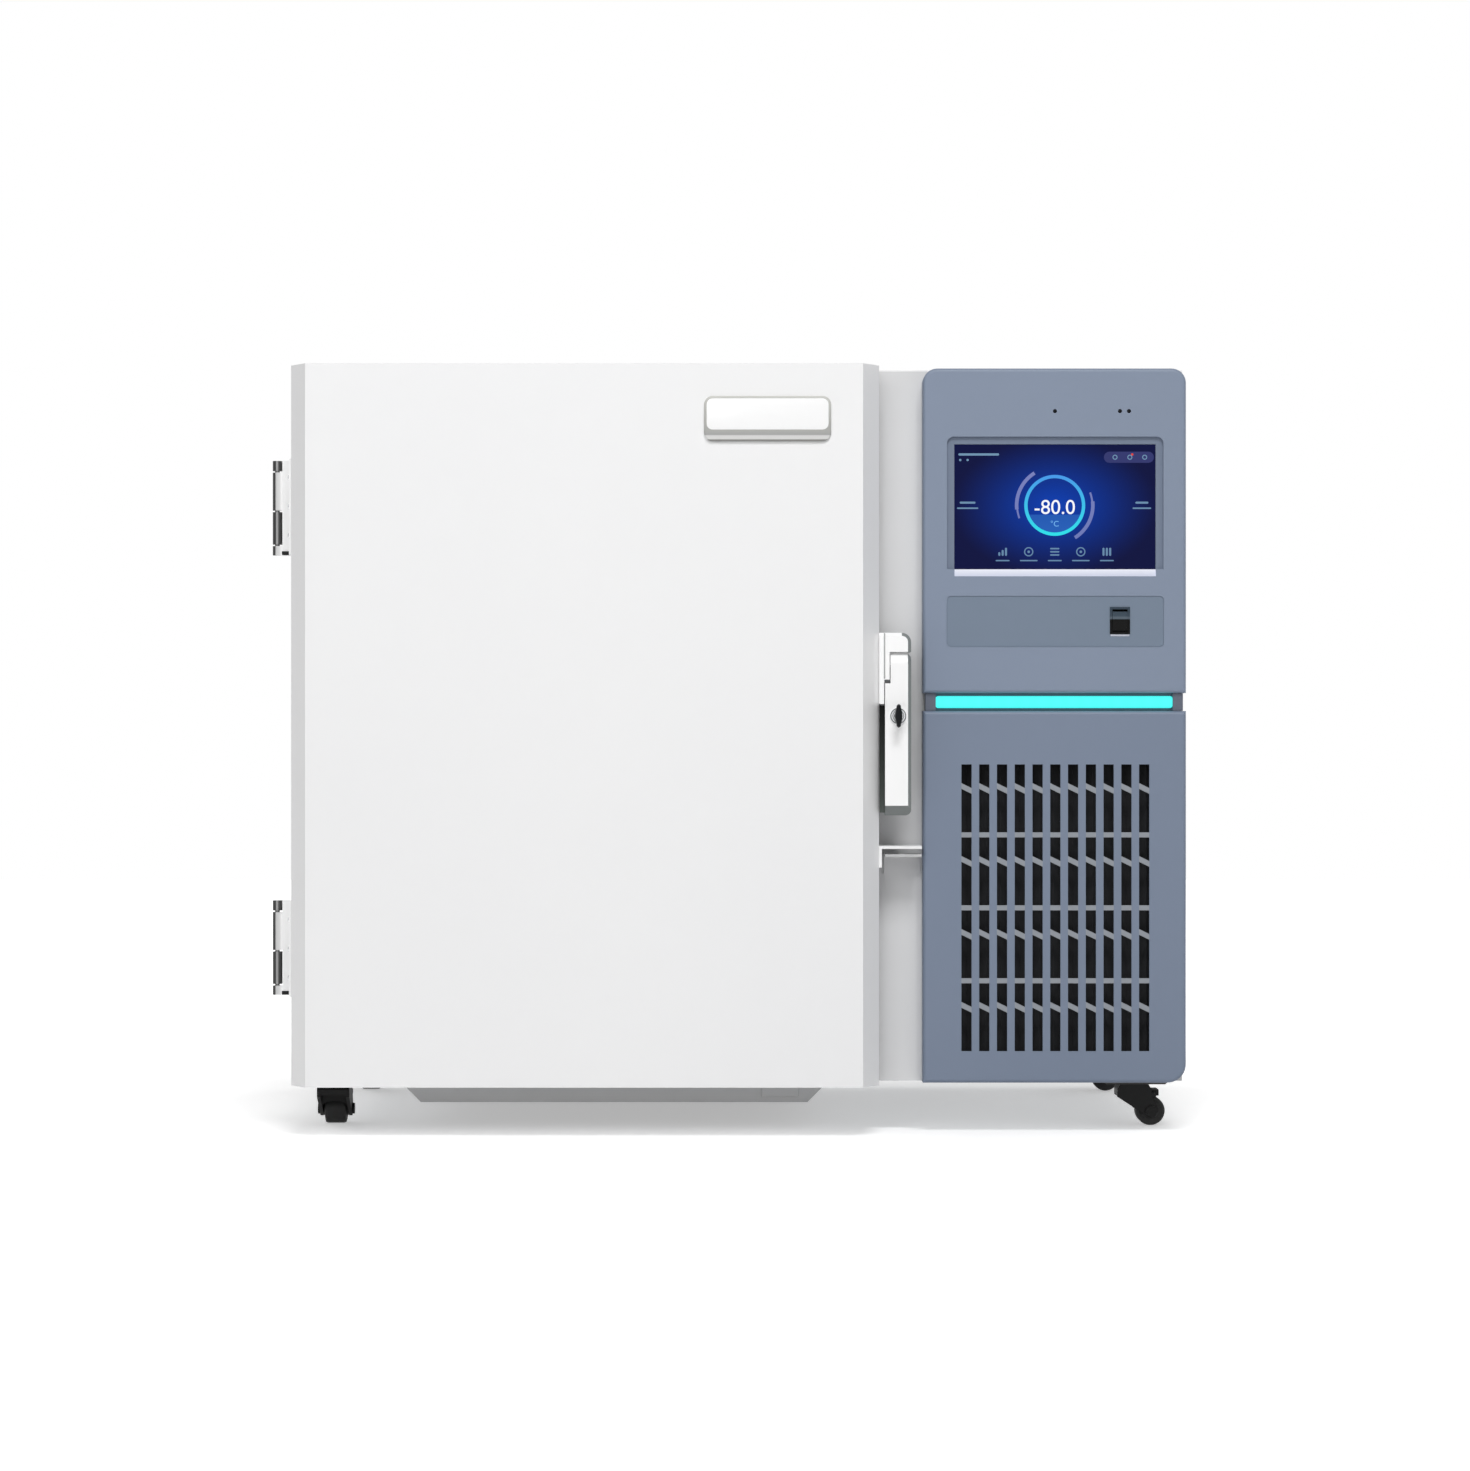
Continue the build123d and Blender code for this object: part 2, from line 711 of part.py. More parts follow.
# Plan of the outer door, with its two long front edges cut off at a slant
door_outline = (
    (door_left, door_back),
    (door_left, door_front + door_chamfer[1]),
    (door_left + door_chamfer[0], door_front),
    (door_right - door_chamfer[0], door_front),
    (door_right, door_front + door_chamfer[1]),
    (door_right, door_back),
)

# Door skin: a folded pan open at the back
with BuildPart() as door_skin:
    with BuildSketch(level_plane(cabinet_base)):
        Polygon(*door_outline, align=None)
    extrude(amount=cabinet_top - cabinet_base)
    offset(
        amount=-door_skin_wall,
        openings=door_skin.faces().sort_by(Axis.Y)[-1],
        kind=Kind.INTERSECTION,
    )
door_skin.part.label = "door_skin"
export_step(door_skin.part, "parts/door_skin.step")

# Door liner: the moulded back of the door, with the plug that fills the chamber's mouth
plug_left = chamber_left + plug_gap
plug_right = chamber_right - plug_gap
plug_low = chamber_floor + plug_gap
plug_high = chamber_top - plug_gap
liner_seat = door_back - door_liner_wall
with BuildPart() as door_liner:
    with BuildSketch(front_plane(door_back)):
        rectangle_between(
            door_left + door_skin_wall,
            door_right - door_skin_wall,
            cabinet_base + door_skin_wall,
            cabinet_top - door_skin_wall,
        )
    extrude(amount=door_liner_wall)
    with BuildSketch(front_plane(door_back + plug_depth)):
        rectangle_between(plug_left, plug_right, plug_low, plug_high)
    extrude(amount=plug_depth)
    with BuildSketch(front_plane(door_back + plug_depth - door_liner_wall)):
        rectangle_between(
            plug_left + door_liner_wall,
            plug_right - door_liner_wall,
            plug_low + door_liner_wall,
            plug_high - door_liner_wall,
        )
    extrude(amount=plug_depth, mode=Mode.SUBTRACT)
door_liner.part.label = "door_liner"
export_step(door_liner.part, "parts/door_liner.step")

# Door foam, which fills skin and plug
with BuildPart() as door_foam:
    with BuildSketch(level_plane(cabinet_base + door_skin_wall)):
        Polygon(*door_outline, align=None)
        offset(amount=-door_skin_wall, kind=Kind.INTERSECTION, mode=Mode.REPLACE)
        rectangle_between(door_left, door_right, liner_seat, door_back, Mode.SUBTRACT)
    extrude(amount=cabinet_top - cabinet_base - 2 * door_skin_wall)
    with BuildSketch(front_plane(door_back + plug_depth - door_liner_wall)):
        rectangle_between(
            plug_left + door_liner_wall,
            plug_right - door_liner_wall,
            plug_low + door_liner_wall,
            plug_high - door_liner_wall,
        )
    extrude(amount=plug_depth)
door_foam.part.label = "door_foam"
export_step(door_foam.part, "parts/door_foam.step")

# Door gasket: a foot on the liner and a narrower bellows towards the cabinet
gasket_thick = gasket_gap - gasket_clearance
gasket_layers = (
    (door_back + gasket_foot, gasket_foot, 0),
    (door_back + gasket_thick, gasket_thick, gasket_step),
)
with BuildPart() as door_gasket:
    for layer_back, layer_depth, layer_inset in gasket_layers:
        outer = gasket_inset + layer_inset
        inner = gasket_inset + gasket_width - layer_inset
        with BuildSketch(front_plane(layer_back)):
            rectangle_between(
                door_left + outer, door_right - outer, cabinet_base + outer, cabinet_top - outer
            )
            rectangle_between(
                door_left + inner,
                door_right - inner,
                cabinet_base + inner,
                cabinet_top - inner,
                Mode.SUBTRACT,
            )
        extrude(amount=layer_depth)
door_gasket.part.label = "door_gasket"
export_step(door_gasket.part, "parts/door_gasket.step")

# Nameplate, left blank, with a raised rim
plate_center = (door_right - nameplate_place[0], cabinet_top - nameplate_place[1])
with BuildPart() as nameplate:
    with BuildSketch(front_plane(door_front)):
        with Locations(plate_center):
            RectangleRounded(*nameplate_size, nameplate_corner)
    extrude(amount=nameplate_thick)
    chamfer(nameplate.faces().sort_by(Axis.Y)[0].edges(), nameplate_rim / 2)
    with BuildSketch(front_plane(door_front - nameplate_thick)):
        with Locations(plate_center):
            RectangleRounded(
                nameplate_size[0] - 2 * nameplate_rim,
                nameplate_size[1] - 2 * nameplate_rim,
                nameplate_corner - nameplate_rim,
            )
    extrude(amount=-nameplate_sink, mode=Mode.SUBTRACT)
nameplate.part.label = "nameplate"
export_step(nameplate.part, "parts/nameplate.step")


def knuckle_spans(base):
    """Height spans of one hinge's knuckles, from the top, alternately the cabinet's and the door's."""
    spans = []
    upper = base + hinge_height
    for length in hinge_knuckles:
        spans.append((upper - length, upper))
        upper -= length + hinge_knuckle_gap
    return spans


def hinge_leaves(owner, leaf_front, flange_faces, flange_depths, pin_radius, pin_mode):
    """Both leaves of one side: knuckles, plates, flanges on the panel, and the pins or their bores."""
    notch_x = hinge_x + hinge_barrel_radius + hinge_notch_gap
    with BuildPart() as leaves:
        for base in hinge_bases:
            with BuildSketch(level_plane(base)):
                rectangle_between(notch_x, flange_faces[1], leaf_front, leaf_front + hinge_leaf_sheet)
                rectangle_between(*flange_faces, *flange_depths)
            extrude(amount=hinge_height)
            for low, high in knuckle_spans(base)[owner::2]:
                with BuildSketch(level_plane(low)):
                    circle_at((hinge_x, hinge_y), hinge_barrel_radius)
                    rectangle_between(hinge_x, notch_x, leaf_front, leaf_front + hinge_leaf_sheet)
                extrude(amount=high - low)
            with BuildSketch(level_plane(base)):
                circle_at((hinge_x, hinge_y), pin_radius)
            extrude(amount=hinge_height, mode=pin_mode)
    return leaves


# Hinge leaves on the cabinet, flanged on the left side panel, with the pins fixed in their knuckles
cabinet_leaf_front = hinge_y + hinge_barrel_radius - hinge_leaf_sheet
hinge_leaves_cabinet = hinge_leaves(
    0,
    cabinet_leaf_front,
    (cabinet_left - hinge_leaf_sheet, cabinet_left),
    (cabinet_leaf_front, frame_back + hinge_flange),
    hinge_pin_radius,
    Mode.ADD,
)
hinge_leaves_cabinet.part.label = "hinge_leaves_cabinet"
export_step(hinge_leaves_cabinet.part, "parts/hinge_leaves_cabinet.step")

# Hinge leaves on the door, flanged on its left edge and bored for the pins
door_leaf_front = hinge_y - hinge_barrel_radius
hinge_leaves_door = hinge_leaves(
    1,
    door_leaf_front,
    (door_left - hinge_leaf_sheet, door_left),
    (door_leaf_front - hinge_flange, door_leaf_front + hinge_leaf_sheet),
    hinge_pin_radius + hinge_fit,
    Mode.SUBTRACT,
)
hinge_leaves_door.part.label = "hinge_leaves_door"
export_step(hinge_leaves_door.part, "parts/hinge_leaves_door.step")

# Latch base: the bracket on the door's side that carries the lever, with the lever's pin
base_front = door_front + base_setback
cap_low = handle_z + base_cap_gap
cap_high = cap_low + base_cap_height
cheek_x = door_right + handle_cheek
web_x = door_right + handle_web
cheek_low = handle_z - handle_cheek_drop
with BuildPart() as latch_base:
    with BuildSketch(front_plane(base_front + base_depth)):
        with BuildLine():
            Polyline(
                (handle_outer, cap_high - base_cap_radius),
                (handle_outer, cap_low),
                (cheek_x, cap_low),
                (cheek_x, cheek_low),
                (web_x, cheek_low),
                (web_x, handle_z - base_foot),
                (door_right, handle_z - base_foot),
                (door_right, cap_high),
                (handle_outer - base_cap_radius, cap_high),
            )
            RadiusArc(
                (handle_outer - base_cap_radius, cap_high),
                (handle_outer, cap_high - base_cap_radius),
                base_cap_radius,
            )
        make_face()
    extrude(amount=base_depth)
    cap_edges = latch_base.faces().sort_by(Axis.Y)[0].edges()
    chamfer(cap_edges.filter_by(GeomType.CIRCLE) + cap_edges.sort_by(Axis.X)[-1:], handle_bevel)
    with BuildSketch(side_plane(cheek_x)):
        circle_at((handle_y, handle_z), handle_pin_radius)
    extrude(amount=handle_outer - cheek_x)
latch_base.part.label = "latch_base"
export_step(latch_base.part, "parts/latch_base.step")

# Handle lever: a hollow moulding with a tapered lower end, an eye on the pin and a hook behind it
lever_low = handle_z - handle_length
grip_left = web_x + handle_gap
step_z = handle_z - handle_step
hook_high = handle_z + strike_height / 4 - hook_tip_gap
hook_left = (lever_left + handle_outer - hook_size[0]) / 2
with BuildPart() as handle_lever:
    with BuildSketch(side_plane(lever_left)):
        rectangle_between(lever_front, lever_back, lever_low, handle_z)
        circle_at((handle_y, handle_z), handle_end_radius)
    extrude(amount=handle_outer - lever_left)
    with BuildSketch(side_plane(grip_left)):
        rectangle_between(lever_front, lever_back, lever_low, step_z)
    extrude(amount=lever_left - grip_left)
    lower_edge = handle_lever.edges().filter_by(Axis.X).group_by(Axis.Z)[0].sort_by(Axis.Y)[0]
    chamfer(lower_edge, handle_thick / 2, handle_taper)
    corner_edge = handle_lever.edges().filter_by(Axis.Y).group_by(Axis.Z)[0].sort_by(Axis.X)[-1]
    fillet(corner_edge, handle_corner)
    outer_edge = handle_lever.edges().filter_by(Axis.Z).group_by(Axis.X)[-1].sort_by(Axis.Y)[0]
    chamfer(outer_edge, handle_bevel)
    with BuildSketch(front_plane(lever_back)):
        rectangle_between(
            grip_left + handle_wall,
            handle_outer - handle_wall,
            lever_low + 2 * handle_taper,
            lock_z - 2 * lock_flange_radius,
        )
    extrude(amount=handle_thick - handle_wall, mode=Mode.SUBTRACT)
    with BuildSketch(side_plane(hook_left)):
        rectangle_between(handle_y, handle_y + hook_reach, hook_high - hook_size[1], hook_high)
    extrude(amount=hook_size[0])
    with BuildSketch(side_plane(lever_left)):
        circle_at((handle_y, handle_z), handle_pin_radius + handle_fit)
    extrude(amount=handle_outer - lever_left, mode=Mode.SUBTRACT)
    with BuildSketch(front_plane(lever_back)):
        circle_at((lock_x, lock_z), lock_barrel_radius + lock_fit)
    extrude(amount=handle_thick, mode=Mode.SUBTRACT)
handle_lever.part.label = "handle_lever"
export_step(handle_lever.part, "parts/handle_lever.step")

# Lock barrel in the lever
with BuildPart() as lock_barrel:
    with BuildSketch(front_plane(lever_back)):
        circle_at((lock_x, lock_z), lock_barrel_radius)
    extrude(amount=handle_thick)
    with BuildSketch(front_plane(lever_front)):
        circle_at((lock_x, lock_z), lock_flange_radius)
    extrude(amount=lock_flange)
    with BuildSketch(front_plane(lever_back)):
        circle_at((lock_x, lock_z), lock_plug_radius + lock_fit)
    extrude(amount=handle_thick + lock_flange, mode=Mode.SUBTRACT)
lock_barrel.part.label = "lock_barrel"
export_step(lock_barrel.part, "parts/lock_barrel.step")

# Lock plug with its key left in: shank and flat bow
plug_face = lever_front - lock_flange
with BuildPart() as lock_key:
    with BuildSketch(front_plane(lever_back)):
        circle_at((lock_x, lock_z), lock_plug_radius)
    extrude(amount=handle_thick + lock_flange)
    with BuildSketch(front_plane(plug_face)):
        rectangle_at((lock_x, lock_z), key_shank[:2])
    extrude(amount=key_shank[2])
    with BuildSketch(side_plane(lock_x - key_bow[0] / 2)):
        with Locations((plug_face - key_shank[2] - key_bow[2] / 2, lock_z)):
            RectangleRounded(key_bow[2], key_bow[1], key_bow[2] / 3)
    extrude(amount=key_bow[0])
lock_key.part.label = "lock_key"
export_step(lock_key.part, "parts/lock_key.step")

# Latch strike on the front frame, over the hook
with BuildPart() as latch_strike:
    with BuildSketch(side_plane(cheek_x)):
        with BuildLine():
            Polyline(
                (cabinet_front, handle_z + strike_height / 4),
                (cabinet_front - strike_depth, handle_z + strike_height / 4),
                (cabinet_front - strike_depth, handle_z + strike_height / 2),
                (cabinet_front - strike_depth / 3, handle_z + strike_height * 5 / 4),
                (cabinet_front, handle_z + strike_height * 5 / 4),
                close=True,
            )
        make_face()
    extrude(amount=handle_outer - cheek_x)
latch_strike.part.label = "latch_strike"
export_step(latch_strike.part, "parts/latch_strike.step")

# Padlock tabs: two angles whose holes line up when the door is shut
tab_z = cabinet_base + tab_level
tab_right = bezel_left - tab_setback
tab_hole = (tab_right - tab_width / 2, cabinet_front - tab_reach + tab_width / 4)
with BuildPart() as padlock_tab_cabinet:
    with BuildSketch(level_plane(tab_z)):
        rectangle_between(tab_right - tab_width, tab_right, cabinet_front - tab_reach, cabinet_front)
        circle_at(tab_hole, tab_hole_radius, Mode.SUBTRACT)
    extrude(amount=tab_sheet)
    with BuildSketch(front_plane(cabinet_front)):
        rectangle_between(tab_right - tab_width, tab_right, tab_z - tab_flange, tab_z)
    extrude(amount=tab_sheet)
padlock_tab_cabinet.part.label = "padlock_tab_cabinet"
export_step(padlock_tab_cabinet.part, "parts/padlock_tab_cabinet.step")

door_tab_z = tab_z + tab_sheet + tab_gap
door_tab_back = door_back + tab_setback / 2
with BuildPart() as padlock_tab_door:
    with BuildSketch(level_plane(door_tab_z)):
        rectangle_between(door_right, tab_right, door_tab_back - tab_reach, door_tab_back)
        circle_at(tab_hole, tab_hole_radius, Mode.SUBTRACT)
    extrude(amount=tab_sheet)
    with BuildSketch(side_plane(door_right)):
        rectangle_between(
            door_tab_back - tab_reach, door_tab_back, door_tab_z - tab_flange, door_tab_z
        )
    extrude(amount=tab_sheet)
padlock_tab_door.part.label = "padlock_tab_door"
export_step(padlock_tab_door.part, "parts/padlock_tab_door.step")

# Upper bezel: a moulded shell with the screen's pocket, window and sill, a label pocket and
# three indicator holes
glass_low = screen_z - screen_glass[1] / 2
glass_high = screen_z + screen_glass[1] / 2
with BuildPart() as upper_bezel:
    with BuildSketch(front_plane(cabinet_front)) as bezel_outline:
        rectangle_between(bezel_left, bezel_right, groove_high, cabinet_top)
        fillet(bezel_outline.vertices().group_by(Axis.Y)[-1], bezel_corner)
    extrude(amount=bezel_depth)
    fillet(upper_bezel.faces().sort_by(Axis.Y)[0].edges(), bezel_edge)
    with BuildSketch(front_plane(cabinet_front)) as bezel_inside:
        rectangle_between(
            bezel_left + bezel_wall,
            bezel_right - bezel_wall,
            groove_high + bezel_wall,
            cabinet_top - bezel_wall,
        )
        fillet(bezel_inside.vertices().group_by(Axis.Y)[-1], bezel_corner - bezel_wall)
    extrude(amount=bezel_depth - bezel_wall, mode=Mode.SUBTRACT)
    with BuildSketch(front_plane(bezel_front + screen_surround)):
        surround = 2 * (screen_border + screen_margin)
        rectangle_at((screen_x, screen_z), (screen_glass[0] + surround, screen_glass[1] + surround))
    extrude(amount=screen_surround - bezel_wall)
    with BuildSketch(front_plane(bezel_front)):
        with Locations((screen_x, screen_z)):
            RectangleRounded(
                screen_glass[0] + 2 * screen_border, screen_glass[1] + 2 * screen_border, screen_corner
            )
        rectangle_between(
            screen_x - screen_glass[0] / 2 - screen_border,
            screen_x + screen_glass[0] / 2 + screen_border,
            glass_low - screen_border,
            glass_low,
            Mode.SUBTRACT,
        )
    extrude(amount=-screen_pocket, mode=Mode.SUBTRACT)
    with BuildSketch(side_plane(screen_x - screen_glass[0] / 2)):
        with BuildLine():
            Polyline(
                (bezel_front, glass_low - screen_border),
                (bezel_front + screen_recess, glass_low),
                (bezel_front + screen_surround, glass_low),
                (bezel_front + screen_surround, glass_high),
                (bezel_front, glass_high),
                close=True,
            )
        make_face()
    extrude(amount=screen_glass[0], mode=Mode.SUBTRACT)
    with BuildSketch(front_plane(bezel_front)):
        with Locations(*[(bezel_left + x, cabinet_top - indicator_level) for x in indicator_places]):
            Circle(indicator_radius)
        rectangle_at((switch_x, switch_z), switch_body[:2])
    extrude(amount=-bezel_wall, mode=Mode.SUBTRACT)
    with BuildSketch(front_plane(bezel_front)):
        with Locations((panel_x, panel_z)):
            RectangleRounded(*switch_panel_size, switch_panel_corner)
    extrude(amount=-switch_panel_pocket, mode=Mode.SUBTRACT)
upper_bezel.part.label = "upper_bezel"
export_step(upper_bezel.part, "parts/upper_bezel.step")

# Touch screen: glass in the bezel's window and the display module behind it
with BuildPart() as touch_screen:
    with BuildSketch(front_plane(bezel_front + screen_surround + screen_body)):
        module = 2 * screen_margin
        rectangle_at((screen_x, screen_z), (screen_glass[0] + module, screen_glass[1] + module))
    extrude(amount=screen_body)
    with BuildSketch(front_plane(bezel_front + screen_surround)):
        rectangle_at(
            (screen_x, screen_z), (screen_glass[0] - 2 * trim_gap, screen_glass[1] - 2 * trim_gap)
        )
    extrude(amount=screen_surround - screen_recess)
touch_screen.part.label = "touch_screen"
export_step(touch_screen.part, "parts/touch_screen.step")

# Switch panel: a thin plate in the bezel's pocket, cut out for the switch
with BuildPart() as switch_panel:
    with BuildSketch(front_plane(bezel_front + switch_panel_pocket)):
        with Locations((panel_x, panel_z)):
            RectangleRounded(
                switch_panel_size[0] - 2 * trim_gap,
                switch_panel_size[1] - 2 * trim_gap,
                switch_panel_corner - trim_gap,
            )
        rectangle_at((switch_x, switch_z), switch_body[:2], Mode.SUBTRACT)
    extrude(amount=switch_panel_sheet)
switch_panel.part.label = "switch_panel"
export_step(switch_panel.part, "parts/switch_panel.step")

# Switch frame: rim on the panel and an open-fronted body through the bezel
with BuildPart() as switch_frame:
    with BuildSketch(front_plane(panel_face)):
        rectangle_at((switch_x, switch_z), switch_size)
    extrude(amount=switch_rim)
    with BuildSketch(front_plane(panel_face + switch_body[2])):
        rectangle_at(
            (switch_x, switch_z), (switch_body[0] - 2 * trim_gap, switch_body[1] - 2 * trim_gap)
        )
    extrude(amount=switch_body[2])
    with BuildSketch(front_plane(panel_face - switch_rim)):
        rectangle_at((switch_x, switch_z), rocker_opening)
    extrude(amount=-(switch_body[2] - switch_rim), mode=Mode.SUBTRACT)
switch_frame.part.label = "switch_frame"
export_step(switch_frame.part, "parts/switch_frame.step")

# Power rocker: two slopes that meet in a crest, tipped about its pivot with the lower half pressed in
rocker_plane = Plane(
    origin=(switch_x - rocker_size[0] / 2, rocker_axis_y, switch_z),
    x_dir=Vector(0, 1, 0).rotate(Axis.X, rocker_tilt),
    z_dir=(1, 0, 0),
)
rocker_half = rocker_size[1] / 2
with BuildPart() as power_rocker:
    with BuildSketch(rocker_plane):
        with BuildLine():
            Polyline(
                (-rocker_depth - rocker_crest, 0),
                (-rocker_depth, rocker_half),
                (0, rocker_half),
                (0, -rocker_half),
                (-rocker_depth, -rocker_half),
                close=True,
            )
        make_face()
    extrude(amount=rocker_size[0])
power_rocker.part.label = "power_rocker"
export_step(power_rocker.part, "parts/power_rocker.step")

# Light channel: a tray in the groove between bezel and grille, with two end caps
channel_left = bezel_left + channel_end_gap
channel_right = bezel_right - channel_end_gap
channel_low = groove_low + channel_gap
channel_high = groove_high - channel_gap
channel_z = (groove_low + groove_high) / 2
diffuser_left = channel_left + diffuser_inset
diffuser_right = channel_right - diffuser_inset
with BuildPart() as light_channel:
    with BuildSketch(front_plane(cabinet_front)):
        rectangle_between(channel_left, channel_right, channel_low, channel_high)
    extrude(amount=channel_depth)
    with BuildSketch(front_plane(cabinet_front - channel_depth)):
        rectangle_between(channel_left, diffuser_left - trim_gap, channel_low, channel_high)
        rectangle_between(diffuser_right + trim_gap, channel_right, channel_low, channel_high)
    extrude(amount=channel_cap - channel_depth)
    with BuildSketch(front_plane(cabinet_front - channel_depth)):
        rectangle_between(
            diffuser_left - trim_gap,
            diffuser_right + trim_gap,
            channel_z - diffuser_height / 2 - trim_gap,
            channel_z + diffuser_height / 2 + trim_gap,
        )
    extrude(amount=-diffuser_seat, mode=Mode.SUBTRACT)
light_channel.part.label = "light_channel"
export_step(light_channel.part, "parts/light_channel.step")

# Light bar, the diffuser in its channel
with BuildPart() as light_bar:
    with BuildSketch(front_plane(cabinet_front - channel_depth + diffuser_seat)):
        with Locations(((diffuser_left + diffuser_right) / 2, channel_z)):
            RectangleRounded(diffuser_right - diffuser_left, diffuser_height, diffuser_corner)
    extrude(amount=diffuser_seat + diffuser_proud)
    chamfer(light_bar.faces().sort_by(Axis.Y)[0].edges(), diffuser_corner / 2)
light_bar.part.label = "light_bar"
export_step(light_bar.part, "parts/light_bar.step")

# Grille panel: a moulded shell with four rows of paired slots, split by a slanted bar, and four lugs
slot_right = slot_width / 2
slot_top = slot_group / 2
slot_room = groove_low - cabinet_base - slot_margin_low - slot_margin_high
grille_columns = 1 + int((bezel_width - 2 * slot_margin_side - slot_width) / slot_pitch[0])
grille_rows = 1 + int((slot_room - slot_group) / slot_pitch[1])
slot_field = slot_group + (grille_rows - 1) * slot_pitch[1]
grille_middle = (bezel_middle + slot_shift, cabinet_base + slot_margin_low + slot_field / 2)
with BuildPart() as grille_panel:
    with BuildSketch(front_plane(cabinet_front)) as grille_outline:
        rectangle_between(bezel_left, bezel_right, cabinet_base, groove_low)
        fillet(grille_outline.vertices().group_by(Axis.Y)[0].sort_by(Axis.X)[-1], grille_corner)
    extrude(amount=bezel_depth)
    fillet(grille_panel.faces().sort_by(Axis.Y)[0].edges(), bezel_edge)
    with BuildSketch(front_plane(cabinet_front)) as grille_inside:
        rectangle_between(
            bezel_left + bezel_wall,
            bezel_right - bezel_wall,
            cabinet_base + bezel_wall,
            groove_low - bezel_wall,
        )
        fillet(
            grille_inside.vertices().group_by(Axis.Y)[0].sort_by(Axis.X)[-1], grille_corner - bezel_wall
        )
    extrude(amount=bezel_depth - bezel_wall, mode=Mode.SUBTRACT)
    with BuildSketch(front_plane(bezel_front)):
        with Locations(grille_middle):
            with GridLocations(*slot_pitch, grille_columns, grille_rows):
                Polygon(
                    (-slot_right, slot_top),
                    (-slot_right, slot_top - slot_upper[0]),
                    (slot_right, slot_top - slot_upper[1]),
                    (slot_right, slot_top),
                    align=None,
                )
                Polygon(
                    (-slot_right, slot_top - slot_upper[0] - slot_bar),
                    (-slot_right, -slot_top),
                    (slot_right, -slot_top),
                    (slot_right, slot_top - slot_upper[1] - slot_bar),
                    align=None,
                )
    extrude(amount=-bezel_wall, mode=Mode.SUBTRACT)
    with BuildSketch(front_plane(bezel_front + bezel_wall + lug_length)):
        with Locations(*[(x, z) for x in lug_xs for z in lug_zs]):
            Rectangle(*lug_size)
    extrude(amount=lug_length)
grille_panel.part.label = "grille_panel"
export_step(grille_panel.part, "parts/grille_panel.step")

# Air filter: a frame against the front frame and pleated media in it
media_left = filter_left + filter_border
media_right = filter_right - filter_border
pleat = (media_right - media_left) / filter_pleats
pleat_front = cabinet_front - filter_thick + filter_media
pleat_rise = filter_thick - 3 * filter_media
pleat_points = [
    (media_left + pleat * step / 2, pleat_front + pleat_rise * (step % 2))
    for step in range(2 * filter_pleats + 1)
]
media_points = pleat_points + [(x, y + filter_media) for x, y in reversed(pleat_points)]
with BuildPart() as air_filter:
    with BuildSketch(front_plane(cabinet_front)):
        rectangle_between(filter_left, filter_right, filter_low, filter_high)
        rectangle_between(
            media_left, media_right, filter_low + filter_border, filter_high - filter_border, Mode.SUBTRACT
        )
    extrude(amount=filter_thick)
    with BuildSketch(level_plane(filter_low + filter_border)):
        with BuildLine():
            Polyline(*media_points, close=True)
        make_face()
    extrude(amount=filter_high - filter_low - 2 * filter_border)
air_filter.part.label = "air_filter"
export_step(air_filter.part, "parts/air_filter.step")

# Condenser: a core with fins before and behind it, standing on the tray
condenser_y = (condenser_low_y + condenser_high_y) / 2
fin_pitch = (service_right - service_left - condenser_fin) / (condenser_fins - 1)
with BuildPart() as condenser:
    with BuildSketch(level_plane(tray_top)):
        rectangle_at((fan_x, condenser_y), (service_right - service_left, condenser_core))
        with Locations((fan_x, condenser_y)):
            with GridLocations(fin_pitch, condenser_depth, condenser_fins, 1):
                Rectangle(condenser_fin, condenser_depth)
    extrude(amount=condenser_top - tray_top)
condenser.part.label = "condenser"
export_step(condenser.part, "parts/condenser.step")

# Fan shroud: a plate with a ring, and the motor on two arms behind it
ring_radius = fan_radius + fan_tip_gap
hub_back = ring_back - fan_hub_gap
with BuildPart() as fan_shroud:
    with BuildSketch(front_plane(shroud_y + shroud_sheet)):
        rectangle_between(service_left, service_right, tray_top, shroud_top)
        circle_at((fan_x, fan_z), ring_radius, Mode.SUBTRACT)
    extrude(amount=shroud_sheet)
    with BuildSketch(front_plane(ring_back)):
        circle_at((fan_x, fan_z), ring_radius + fan_ring_wall)
        circle_at((fan_x, fan_z), ring_radius, Mode.SUBTRACT)
    extrude(amount=fan_ring_depth)
    with BuildSketch(front_plane(ring_back + motor_arm[1])):
        rectangle_at((fan_x, fan_z), (2 * (ring_radius + fan_ring_wall), motor_arm[0]))
        rectangle_at((fan_x, fan_z), (motor_arm[0], 2 * (ring_radius + fan_ring_wall)))
    extrude(amount=motor_arm[1])
    with BuildSketch(front_plane(ring_back + motor_arm[1] + motor_length)):
        circle_at((fan_x, fan_z), motor_radius)
    extrude(amount=motor_length)
    with BuildSketch(front_plane(ring_back)):
        circle_at((fan_x, fan_z), fan_shaft_radius)
    extrude(amount=fan_hub_gap + fan_hub_length - fan_ring_wall)
fan_shroud.part.label = "fan_shroud"
export_step(fan_shroud.part, "parts/fan_shroud.step")

